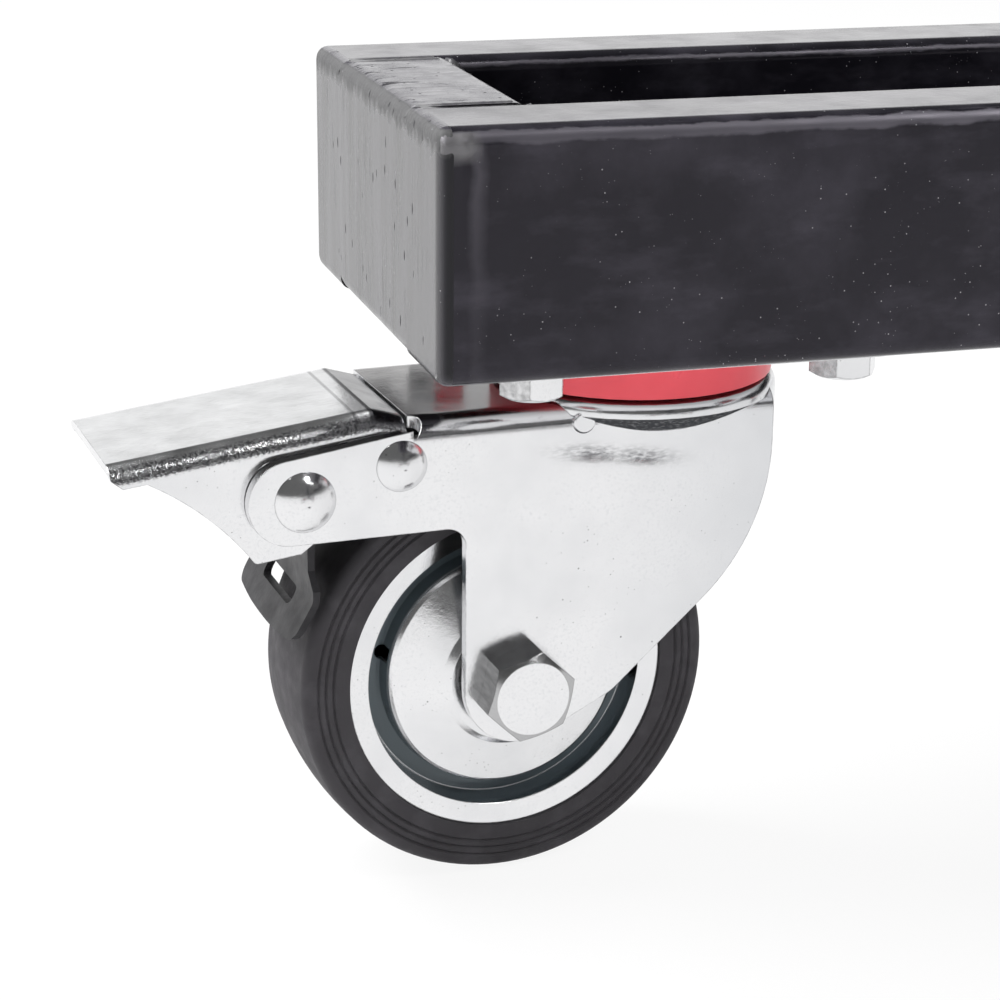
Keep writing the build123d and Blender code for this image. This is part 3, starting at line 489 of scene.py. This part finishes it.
def cap_paint_finish():
    """The paint of the closed foot ends: pits, runs down the face and a ground band along the top edge. The
    top and end faces are lighter than the sides, partly from dust and wear and partly as painted light.
    """
    paint = Finish("cap_paint", black_paint, roughness=0.2)
    facing_up = paint.facing(z_axis)
    facing_end = paint.rise(paint.size(paint.facing(x_axis)), 0.5, 0.9)
    facing_side = paint.rise(paint.size(paint.facing(y_axis)), 0.6, 0.95)

    up = paint.minus(paint.part(paint.place, "Z"), foot_corner().z)
    ragged = paint.patches(300, 5, 0.3, 0.7, -1.8 * mm, 1.8 * mm, paint.stretched((1, 1, 0.4)))
    ground = paint.times(paint.rise(paint.plus(up, ragged), *ground_low), paint.fall(up, *ground_top))
    runs = paint.noise(140, 5, paint.stretched((1, 1, 0.06)))
    pits = paint.times(
        paint.specks(260, 0.07, 0.12, paint.stretched((1, 1, 0.3))),
        paint.patches(75, 2, 0.42, 0.49),
    )
    dents = paint.times(
        paint.patches(420, 3, 0.6, 0.68, place=paint.stretched((0.16, 1, 1))),
        paint.patches(70, 3, 0.46, 0.56),
        paint.rise(facing_up, 0.8, 0.95),
    )
    marks = paint.most(pits, dents)
    streaks = paint.times(
        paint.patches(520, 3, 0.58, 0.72, place=paint.stretched((1, 1, 0.08))),
        paint.patches(70, 3, 0.4, 0.6),
    )
    dots = paint.times(paint.specks(430, 0.05, 0.09), paint.patches(50, 2, 0.5, 0.58))
    scratches = paint.times(paint.patches(240, 6, 0.5, 0.7, place=paint.stretched((0.12, 1, 1))), facing_up)

    # Lighter paint on the top and end faces, and a lighter grey on the end faces along the runs: partly dust
    # and wear, partly painted light
    painted = paint.blend(facing_side, worn_paint, black_paint)
    dust_and_light = paint.times(facing_end, paint.span(runs, 0.35, 0.65, 0.6, 1.0))
    painted = paint.blend(dust_and_light, painted, end_paint)
    painted = paint.blend(ground, painted, ground_paint)
    painted = paint.blend(marks, painted, black_paint)
    paint.color(paint.blend(dots, painted, dust_gray))
    dulled = paint.most(
        paint.times(ground, 0.72),
        paint.times(marks, 0.9),
        paint.times(streaks, 0.3),
        paint.times(facing_side, 0.32),
    )
    paint.gloss(paint.fall(dulled, 0.0, 1.0, 0.5))
    paint.rough(paint.plus(paint.span(runs, 0.3, 0.7, 0.16, 0.3), paint.times(dulled, 0.4)))
    rough_ground = paint.times(paint.noise(700, 4), ground)
    paint.bump(
        (marks, -0.2 * mm), (scratches, 0.08 * mm), (paint.noise(420, 4), 0.04 * mm), (rough_ground, 0.3 * mm)
    )
    return paint.material


def zinc_layers(zinc, roughness):
    """Bright zinc plate: the colour with clouds, grain and pin specks, and the bumps of the pressed steel."""
    cloud = zinc.patches(34, 5, 0.4, 0.75, 0.0, 0.45)
    grain = zinc.patches(1300, 3, 0.5, 0.72, 0.0, 0.32)
    pins = zinc.times(zinc.specks(240, 0.04, 0.07), zinc.patches(55, 2, 0.52, 0.6))
    fine_pins = zinc.times(zinc.specks(560, 0.05, 0.09), zinc.patches(48, 2, 0.5, 0.58))
    plated = zinc.blend(zinc.most(cloud, grain), bright_zinc, dull_zinc)
    plated = zinc.blend(zinc.most(pins, fine_pins), plated, pit_gray)
    zinc.rough(zinc.patches(110, 6, 0.3, 0.7, roughness - 0.05, roughness + 0.08))
    layers = (
        (zinc.noise(160, 4), 0.04 * mm),
        (zinc.noise(900, 4), 0.02 * mm),
        (zinc.noise(2600, 2), 0.008 * mm),
    )
    return plated, layers


def edge_dirt(zinc):
    """Broken dark lines along the cut edges of the sheet."""
    return zinc.times(zinc.edge_lines(cut_edge), zinc.patches(420, 4, 0.42, 0.62, 0.0, 0.6))


def zinc_finish(name, roughness):
    """Plain zinc plate."""
    zinc = Finish(name, bright_zinc, roughness, metallic=1.0)
    plated, layers = zinc_layers(zinc, roughness)
    zinc.color(plated)
    zinc.bump(*layers, edge=edge_round)
    return zinc.material


def rim_finish(corner):
    """Zinc plated wheel disc whose deep groove stays dark."""
    rim = Finish(f"{corner}_rim_zinc", bright_zinc, roughness=0.16, metallic=1.0)
    castor = castor_place(corner)
    plated, layers = zinc_layers(rim, roughness=0.16)
    arm = rim.vector_math("SUBTRACT", rim.place, castor.axle)
    radius = rim.vector_math("LENGTH", rim.vector_math("CROSS_PRODUCT", arm, castor.across), output="Value")
    aside = rim.size(rim.dot(arm, castor.across))
    inner, outer = rim_groove
    groove = rim.times(
        rim.rise(radius, inner - 0.3 * mm, inner),
        rim.fall(radius, outer - 0.3 * mm, outer),
        rim.fall(aside, rim_groove_face - 0.5 * mm, rim_groove_face),
    )
    rim.color(rim.blend(groove, plated, groove_slate))
    rim.metal(rim.span(groove, 0.0, 1.0, 1.0, 0.2))
    rim.bump(*layers, edge=edge_round)
    return rim.material


def press_mark(fork, along, above):
    """The two shallow lobes that the press leaves under the fork's round head."""
    lobes = []
    for middle, drop in press_marks:
        beside = fork.minus(along, middle)
        below = fork.plus(above, drop, fork.times(beside, press_mark_tilt))
        reach = [
            fork.math("POWER", fork.size(fork.math("DIVIDE", value, size)), 2.0)
            for value, size in zip((beside, below), press_mark_size)
        ]
        lobes.append(fork.math("POWER", 2.0, fork.times(fork.plus(*reach), -2.0)))
    return fork.most(*lobes)


def fork_finish(corner):
    """Zinc plated fork, with painted shade towards its front, a painted dark reflection on its top faces and
    in the hollow under its round head, and press marks whose darker grey is a painted reflection of their
    dents.
    """
    fork = Finish(f"{corner}_fork_zinc", bright_zinc, roughness=0.15, metallic=1.0)
    castor = castor_place(corner)
    plated, layers = zinc_layers(fork, roughness=0.15)
    arm = fork.vector_math("SUBTRACT", fork.place, castor.swivel)
    along = fork.dot(arm, castor.forward)
    above = fork.part(arm, "Z")
    facing_up = fork.facing(z_axis)
    mark = press_mark(fork, along, above)
    grain = fork.patches(1300, 4, 0.36, 0.62, 0.15, 1.0, fork.stretched((0.35, 0.35, 1), (0, 0.25, 0)))
    # Painted dark reflection in the hollow under the round head, where the surface faces down
    hollow_reflection = fork.times(fork.fall(facing_up, -0.45, -0.2), fork.rise(above, *under_crown))
    speckled = fork.times(hollow_reflection, fork.patches(900, 3, 0.3, 0.5, 0.8, 1.0))
    # Painted shade: the zinc turns darker towards the fork's front
    painted_light_zinc = fork.blend(fork.rise(along, *shaded_front, 0.6), plated, dull_zinc)
    # Painted dark reflection on the faces that look up
    painted_light_zinc = fork.blend(fork.rise(facing_up, 0.6, 0.9), painted_light_zinc, top_reflection_zinc)
    painted_light_zinc = fork.blend(speckled, painted_light_zinc, under_crown_reflection_gray)
    # The press marks' darker grey is a painted reflection of their dents; the lines along the edges are dirt
    dirt_and_dent_reflection = fork.most(fork.times(mark, grain, 0.9), edge_dirt(fork))
    fork.color(fork.blend(dirt_and_dent_reflection, painted_light_zinc, dirt_and_reflection_gray))
    fork.metal(fork.fall(hollow_reflection, 0.0, 1.0))
    fork.gloss(fork.fall(hollow_reflection, 0.0, 1.0, 0.5))
    fork.bump((mark, -press_mark_depth), *layers, edge=edge_round)
    return fork.material


def pedal_finish(corner):
    """Zinc plated pedal, duller on its trodden top, with painted shade on the ramp at its rear and in its
    crease, spotted at its bends.
    """
    pedal = Finish(f"{corner}_pedal_zinc", bright_zinc, roughness=0.17, metallic=1.0)
    castor = castor_place(corner)
    plated, layers = zinc_layers(pedal, roughness=0.17)
    facing_up = pedal.facing(z_axis)
    along = pedal.dot(pedal.vector_math("SUBTRACT", pedal.place, castor.swivel), castor.forward)
    # Painted shade on the ramp at the pedal's rear and in its crease
    ramp = pedal.rise(along, ramp_start - 0.3 * mm, ramp_start + 0.3 * mm)
    crease = pedal.fall(pedal.size(pedal.minus(along, ramp_crease)), 0.2 * mm, 0.6 * mm, 0.5)
    rubbed = pedal.times(pedal.rise(facing_up, 0.75, 0.95), pedal.patches(60, 5, 0.35, 0.7, 0.7, 1.0))
    ramp_shade = pedal.times(pedal.most(ramp, crease), pedal.rise(facing_up, 0.4, 0.7))
    bend = pedal.times(pedal.rise(facing_up, 0.08, 0.2), pedal.fall(facing_up, 0.8, 0.9))
    spotted = pedal.times(bend, pedal.patches(1500, 2, 0.46, 0.58, 0.0, 0.8))
    trodden_and_shaded = pedal.blend(rubbed, plated, pedal_zinc)
    trodden_and_shaded = pedal.blend(ramp_shade, trodden_and_shaded, ramp_shade_gray)
    trodden_and_shaded = pedal.blend(edge_dirt(pedal), trodden_and_shaded, dirt_and_reflection_gray)
    pedal.color(pedal.blend(spotted, trodden_and_shaded, bend_gray))
    pedal.bump((pedal.times(bend, pedal.noise(2600, 2)), 0.06 * mm), *layers, edge=edge_round)
    return pedal.material


def axle_bolt_finish(corner):
    """Zinc plated axle bolt with darker, streaked side facets, worn edges and a grey chamfer."""
    bolt = Finish(f"{corner}_axle_zinc", bright_zinc, roughness=0.18, metallic=1.0)
    plated, layers = zinc_layers(bolt, roughness=0.18)
    facing_out = bolt.size(bolt.facing(castor_place(corner).across))
    facet = bolt.times(
        bolt.fall(facing_out, 0.2, 0.5),
        bolt.patches(700, 4, 0.3, 0.7, 0.55, 1.0, bolt.stretched((1, 0.15, 1))),
        bolt.fall(bolt.facing(z_axis), 0.3, 0.6),
    )
    worn = bolt.times(bolt.edge_lines(worn_edge), bolt.patches(500, 4, 0.3, 0.6, 0.4, 0.95))
    chamfer = bolt.fall(facing_out, 0.94, 0.985, 0.5)
    bolt.color(bolt.blend(bolt.most(worn, chamfer), bolt.blend(facet, plated, facet_gray), edge_gray))
    bolt.bump(*layers, edge=edge_round)
    return bolt.material


def castor_bolt_finish():
    """Zinc plated bolt heads with painted shade on the facets towards the foot's front, and worn edges."""
    bolt = Finish("castor_bolt_zinc", bright_zinc, roughness=0.2, metallic=1.0)
    plated, layers = zinc_layers(bolt, roughness=0.2)
    # Painted shade on the facets that face the foot's front
    painted_shade = bolt.times(
        bolt.rise(bolt.facing(-x_axis), 0.3, 0.7, 0.6),
        bolt.patches(520, 4, 0.35, 0.65, 0.35, 1.0),
    )
    worn = bolt.times(bolt.edge_lines(worn_edge), bolt.patches(900, 4, 0.35, 0.6, 0.1, 0.9))
    bolt.color(bolt.blend(worn, bolt.blend(painted_shade, plated, facet_gray), edge_gray))
    bolt.bump(*layers, edge=edge_round)
    return bolt.material


def seal_finish():
    """Moulded red plastic, a little darker in its clouds, with a soft shine."""
    seal = Finish("seal_red", seal_red, roughness=0.32)
    seal.color(seal.blend(seal.patches(55, 4, 0.35, 0.75, 0.0, 0.5), seal_red, seal_dark_red))
    seal.rough(seal.patches(150, 4, 0.3, 0.7, 0.27, 0.4))
    seal.shader.inputs["Subsurface Weight"].default_value = 0.15
    seal.shader.inputs["Subsurface Radius"].default_value = (4 * mm, 1 * mm, 1 * mm)
    seal.bump((seal.noise(400, 3), 0.03 * mm))
    return seal.material


def rubber_finish():
    """Charcoal rubber with dust in its pores."""
    tyre = Finish("tyre_rubber", rubber, roughness=0.6)
    tyre.color(tyre.blend(tyre.patches(120, 6, 0.5, 0.75, 0.0, 0.6), rubber, rubber_dust))
    tyre.rough(tyre.patches(200, 5, 0.3, 0.7, 0.52, 0.75))
    tyre.gloss(0.2)
    tyre.bump((tyre.noise(900, 4), 0.08 * mm))
    return tyre.material


def leaf_finish():
    """Dark oiled spring steel with a rubbed surface."""
    leaf = Finish("leaf_steel", leaf_gray, roughness=0.5, metallic=0.4)
    leaf.color(leaf.blend(leaf.patches(90, 6, 0.5, 0.8, 0.0, 0.5), leaf_gray, leaf_edge))
    leaf.rough(leaf.patches(160, 5, 0.3, 0.7, 0.36, 0.55))
    leaf.bump((leaf.noise(600, 4), 0.05 * mm))
    return leaf.material


def bearing_finish():
    """Ground steel of balls, sleeves and hubs under a film of grease."""
    steel = Finish("bearing_steel", bearing_gray, roughness=0.25, metallic=1.0)
    steel.color(steel.blend(steel.patches(140, 4, 0.4, 0.7, 0.0, 0.4), bearing_gray, grease_brown))
    steel.rough(steel.patches(220, 4, 0.3, 0.7, 0.2, 0.38))
    return steel.material


def plug_finish():
    """Black moulded plastic with a fine grain."""
    plug = Finish("plug_plastic", plug_black, roughness=0.5)
    plug.color(plug.blend(plug.patches(80, 4, 0.4, 0.7, 0.0, 0.5), plug_black, plug_gray))
    plug.rough(plug.patches(300, 4, 0.3, 0.7, 0.42, 0.6))
    plug.bump((plug.noise(1400, 3), 0.06 * mm))
    return plug.material


def paint_node(node, material):
    """Give a node one material."""
    materials = nodes[node].data.materials
    materials.clear()
    materials.append(material)


def dress_nodes():
    """Give every node the finish of its slot, or one of its own, and weld the feet."""
    finishes = {
        "frame_paint": frame_paint_finish(),
        "zinc": zinc_finish("zinc", roughness=0.16),
        "bolt_zinc": zinc_finish("bolt_zinc", roughness=0.2),
        "seal_red": seal_finish(),
        "tyre_rubber": rubber_finish(),
        "leaf_steel": leaf_finish(),
        "bearing_steel": bearing_finish(),
        "plug_plastic": plug_finish(),
    }
    for piece in frame["record"]["subparts"]:
        paint_node(piece["node"], finishes[piece["material_slot"]])
    foot_paints = {}
    for place, band in highlight_bands.items():
        foot_paints[place] = foot_paint_finish(f"{place}_foot_paint", band)
        for side in sides:
            paint_node(f"{side}_foot_{place}_tube", foot_paints[place])
    cap_paint = cap_paint_finish()
    make_welds((weld_paint_finish(), foot_paints["inner"], cap_paint))
    paint_node("foot_end_caps", cap_paint)
    paint_node("foot_cross_tubes", cap_paint)
    paint_node("castor_bolts", castor_bolt_finish())
    for corner in corners:
        paint_node(f"{corner}_rims", rim_finish(corner))
        paint_node(f"{corner}_fork", fork_finish(corner))
        paint_node(f"{corner}_axle_bolt", axle_bolt_finish(corner))
    for corner in braked_corners:
        paint_node(f"{corner}_pedal", pedal_finish(corner))


def smooth(value):
    """Ease from 0 to 1, held outside that range."""
    value = min(max(value, 0.0), 1.0)
    return value * value * (3 - 2 * value)


def bell(value, width):
    return exp(-(value / width) ** 2)


def steps(low, high, count):
    return [low + (high - low) * index / count for index in range(count + 1)]


def add_slab(shape, rows, back, paint=0):
    """Add a closed slab: a grid of quads through rows of points, and its back moved by a vector."""
    borders = []
    faces = []
    for move in (Vector(), back):
        grid = [[shape.verts.new(point + move) for point in row] for row in rows]
        for first, second in zip(grid, grid[1:]):
            for quad in zip(first, first[1:], second[1:], second):
                faces.append(shape.faces.new(quad))
        right = [row[-1] for row in grid[1:-1]]
        left = [row[0] for row in reversed(grid[1:-1])]
        borders.append(grid[0] + right + grid[-1][::-1] + left)
    near, far = borders
    for quad in zip(near, near[1:] + near[:1], far[1:] + far[:1], far):
        faces.append(shape.faces.new(quad))
    for face in faces:
        face.material_index = paint


def bead_height(into, ripple):
    """The top bead's section. Past its foot it follows the tube's round corner."""
    if into > bead_foot:
        sink = max(tube_corner - into, 0.0)
        return sqrt(max(tube_corner ** 2 - sink ** 2, 0.0)) - tube_corner
    half = 0.5 * bead_reach
    rise = bead_crest * smooth((into + bead_reach) / half)
    fall = (bead_crest + bead_drop) * smooth((into + half) / (half + bead_foot))
    return rise - fall + ripple * bell(into + 0.3 * bead_reach, bead_ripple_width)


class FootEnd:
    """One end of a foot. Its places are given inward from the end face, into a tube and up from its top."""

    def __init__(self, side, end):
        inner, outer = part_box(f"{side}_foot_inner_tube"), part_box(f"{side}_foot_outer_tube")
        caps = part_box("foot_end_caps")
        self.inward = 1 if end == "front" else -1
        self.face_x = caps[0].x if end == "front" else caps[1].x
        self.top = inner[1].z
        self.height = inner[1].z - inner[0].z
        self.tube = inner[1].y - inner[0].y
        low, high = sorted((inner, outer), key=lambda box: box[0].y)
        self.seams = ((low[1].y, -1), (high[0].y, 1))

    def point(self, seam, inward, into, up):
        plane, direction = seam
        return Vector((self.face_x + self.inward * inward, plane + direction * into, self.top + up))

    def move(self, seam, inward, into, up):
        return self.point(seam, inward, into, up) - self.point(seam, 0, 0, 0)

    def top_bead(self, shape, seam):
        """The weld in the groove beside the cross tube, ground away towards the end face."""
        begin = end_round + bead_gap
        near, far = -bead_reach, tube_corner + bead_overlap
        rows = []
        for inward in steps(begin, self.tube - tube_corner, 44):
            start = smooth((inward - begin) / bead_start)
            shown = smooth((inward - bead_fade_from) / bead_fade_length)
            ripple = bead_ripple * sin(2 * pi * inward / bead_ripple_pitch)
            row = []
            for into in steps(near, far, 26):
                border = min(start, smooth((into - near) / bead_border), smooth((far - into) / bead_border))
                lift = paint_skin * border - 0.3 * paint_skin * (1 - border)
                row.append(self.point(seam, inward, into, shown * bead_height(into, ripple) + lift))
            rows.append(row)
        add_slab(shape, rows, Vector((0, 0, -weld_depth)))

    def inner_fillet(self, shape, seam):
        """The hollow weld down the inner corner between cross tube and foot tube."""
        rows = []
        for up, share in (*fillet_levels, (fillet_bottom - self.height, 1.0)):
            radius, spare = fillet_radius * share, fillet_radius * (1 - share)
            row = []
            for angle in steps(0, pi / 2, 14):
                edge = abs(cos(2 * angle)) ** 1.5
                drop = min(up, up - edge * (tube_corner + up)) if up > -tube_corner else up
                inward = self.tube + radius * (1 - sin(angle)) - spare
                into = radius * (cos(angle) - 1) + spare
                row.append(self.point(seam, inward, into, drop))
            rows.append(row)
        add_slab(shape, rows, self.move(seam, -weld_depth, weld_depth, 0))

    def cap_seam(self, shape, seam):
        """The ground weld round the end plate, on the tube's outer side, which fades into it all round."""
        low, high = tube_corner - self.height, -tube_corner
        rows = []
        for up in steps(low, high, 40):
            fade = 0.35 + 0.65 * smooth((up + 0.6 * self.height) / (0.5 * self.height))
            fade *= smooth((high - up) / seam_fade) * smooth((up - low) / seam_fade)
            ripple = 1 + 0.25 * sin(up / seam_waves[0]) * sin(up / seam_waves[1])
            row = []
            for inward in steps(seam_place - seam_half, seam_place + seam_half, 24):
                rise = seam_rise * fade * ripple * bell(inward - seam_place, seam_width)
                row.append(self.point(seam, inward, self.tube + rise - buried, up))
            rows.append(row)
        add_slab(shape, rows, self.move(seam, 0, -weld_depth, 0), foot_slot)

    def corner_blend(self, shape, seam):
        """Ease the step between the rounded edges of the end plate and the cross tube."""
        rows = []
        for angle in steps(*ease_angles, 16):
            row = []
            for into in steps(-ease_before, ease_past, 16):
                before, past = into + ease_before, ease_past - into
                radius = tube_corner + (end_round - tube_corner) * smooth(before / ease_before)
                border = min(smooth(before / ease_border), smooth(past / ease_border))
                lifted = radius + 0.6 * paint_skin * (2 * border - 1)
                row.append(self.point(seam, radius - lifted * sin(angle), into, lifted * cos(angle) - radius))
            rows.append(row)
        add_slab(shape, rows, self.move(seam, weld_depth, 0, -weld_depth), cap_slot)

    def corner_drops(self, shape, seam, seed):
        """Two low, soft drops of weld metal at the top corner of the end plate, round the tube's corner."""
        arc = tube_corner * pi / 2
        sunk = 2 * buried
        rows = []
        for inward in steps(*drop_field, 44):
            short = max(end_round - inward, 0.0)
            recede = end_round - sqrt(end_round ** 2 - short ** 2)
            row = []
            for travel in steps(0.3 * arc, drop_travel + drop_margin, 44):
                angle = min(travel / tube_corner, pi / 2)
                down = max(travel - arc, 0.0)
                uneven = 1 + 0.2 * noise.noise(Vector((inward, travel, seed)) / drop_grain)
                rise = -sunk - recede
                for place, width, lift in drops:
                    form = bell(inward - place, width) * bell(travel - drop_travel, drop_stretch * width)
                    rise += (lift + sunk) * uneven * form
                into = self.tube - tube_corner + (tube_corner + rise) * sin(angle)
                up = (tube_corner + rise) * cos(angle) - tube_corner - down
                row.append(self.point(seam, inward, into, up))
            rows.append(row)
        add_slab(shape, rows, self.move(seam, 0, -weld_depth, -weld_depth), foot_slot)


def make_welds(paints):
    """The welds of each foot end, in the paints of weld, foot tube and end plate."""
    for number, (side, end) in enumerate((side, end) for side in sides for end in ends):
        foot_end = FootEnd(side, end)
        shape = bmesh.new()
        for seam in foot_end.seams:
            foot_end.top_bead(shape, seam)
            foot_end.inner_fillet(shape, seam)
            foot_end.cap_seam(shape, seam)
            foot_end.corner_blend(shape, seam)
        inner_seam = foot_end.seams[0 if side == "left" else 1]
        foot_end.corner_drops(shape, inner_seam, 7 * number)
        bmesh.ops.remove_doubles(shape, verts=shape.verts, dist=0.001 * mm)
        bmesh.ops.recalc_face_normals(shape, faces=shape.faces)
        add_piece(f"{side}_{end}_foot_welds", shape, paints, "frame")


def add_piece(name, shape, materials, body):
    """Turn a finished shape into a smooth piece that rides on a body."""
    mesh = bpy.data.meshes.new(name)
    for face in shape.faces:
        face.smooth = True
    shape.to_mesh(mesh)
    shape.free()
    for material in materials:
        mesh.materials.append(material)
    piece = bpy.data.objects.new(name, mesh)
    bpy.context.collection.objects.link(piece)
    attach(piece, body)


def floor_finish():
    """A pale floor that is white to the camera and in reflections and keeps a soft shadow."""
    finish = Finish("floor", floor_white, roughness=0.9)
    finish.color(finish.blend(finish.noise(3, 2), floor_white, floor_shade))
    glow = finish.add("ShaderNodeEmission")
    rays = finish.add("ShaderNodeLightPath").outputs
    seen = finish.most(rays["Is Camera Ray"], rays["Is Glossy Ray"], rays["Is Transmission Ray"])
    mix = finish.add("ShaderNodeMixShader")
    finish.plug(finish.times(seen, floor_glow), mix.inputs["Fac"])
    finish.plug(finish.shader.outputs["BSDF"], mix.inputs[1])
    finish.plug(glow.outputs["Emission"], mix.inputs[2])
    finish.plug(mix.outputs["Shader"], finish.tree.nodes["Material Output"].inputs["Surface"])
    return finish.material


def make_floor():
    mesh = bpy.data.meshes.new("floor")
    shape = bmesh.new()
    bmesh.ops.create_grid(shape, x_segments=8, y_segments=8, size=floor_half)
    shape.to_mesh(mesh)
    shape.free()
    mesh.materials.append(floor_finish())
    floor = bpy.data.objects.new("floor", mesh)
    floor.location.z = cad_box[0].z - floor_gap
    bpy.context.collection.objects.link(floor)


def make_world():
    """A studio: white walls all round, brighter and higher at the back, and a dim room above them."""
    world = bpy.data.worlds.new("studio")
    bpy.context.scene.world = world
    world.use_nodes = True
    room = Nodes(world.node_tree)

    def ease(value, ends, to_low=0.0, to_high=1.0):
        return room.span(value, *ends, to_low, to_high, interpolation_type="SMOOTHSTEP")

    direction = room.add("ShaderNodeTexCoord").outputs["Generated"]
    back, up = room.part(direction, "Y"), room.part(direction, "Z")
    over_walls = room.times(ease(up, wall_rim), ease(back, back_edge, 1.0, 0.0))
    over_back = ease(up, back_rim)
    light = room.add("ShaderNodeMix")
    room.plug(room.most(over_walls, over_back), light.inputs["Factor"])
    room.plug(ease(back, back_glow, wall_light, back_light), light.inputs["A"])
    room.plug(dim_light, light.inputs["B"])
    background = room.tree.nodes["Background"]
    room.plug(light.outputs["Result"], background.inputs["Strength"])
    room.plug((1, 1, 1, 1), background.inputs["Color"])


def make_softboxes():
    """One large box above at the left and a smaller one at the upper right."""
    aim = foot_corner()
    for name, (place, size, power) in softboxes.items():
        data = bpy.data.lights.new(name, "AREA")
        data.shape = "RECTANGLE"
        data.size = data.size_y = size
        data.energy = power
        light = bpy.data.objects.new(name, data)
        light.location = aim + place
        light.rotation_euler = (-place).to_track_quat("-Z", "Y").to_euler()
        bpy.context.collection.objects.link(light)


place_camera()
dress_nodes()
make_floor()
make_world()
make_softboxes()
bpy.context.scene.view_settings.view_transform = "Standard"
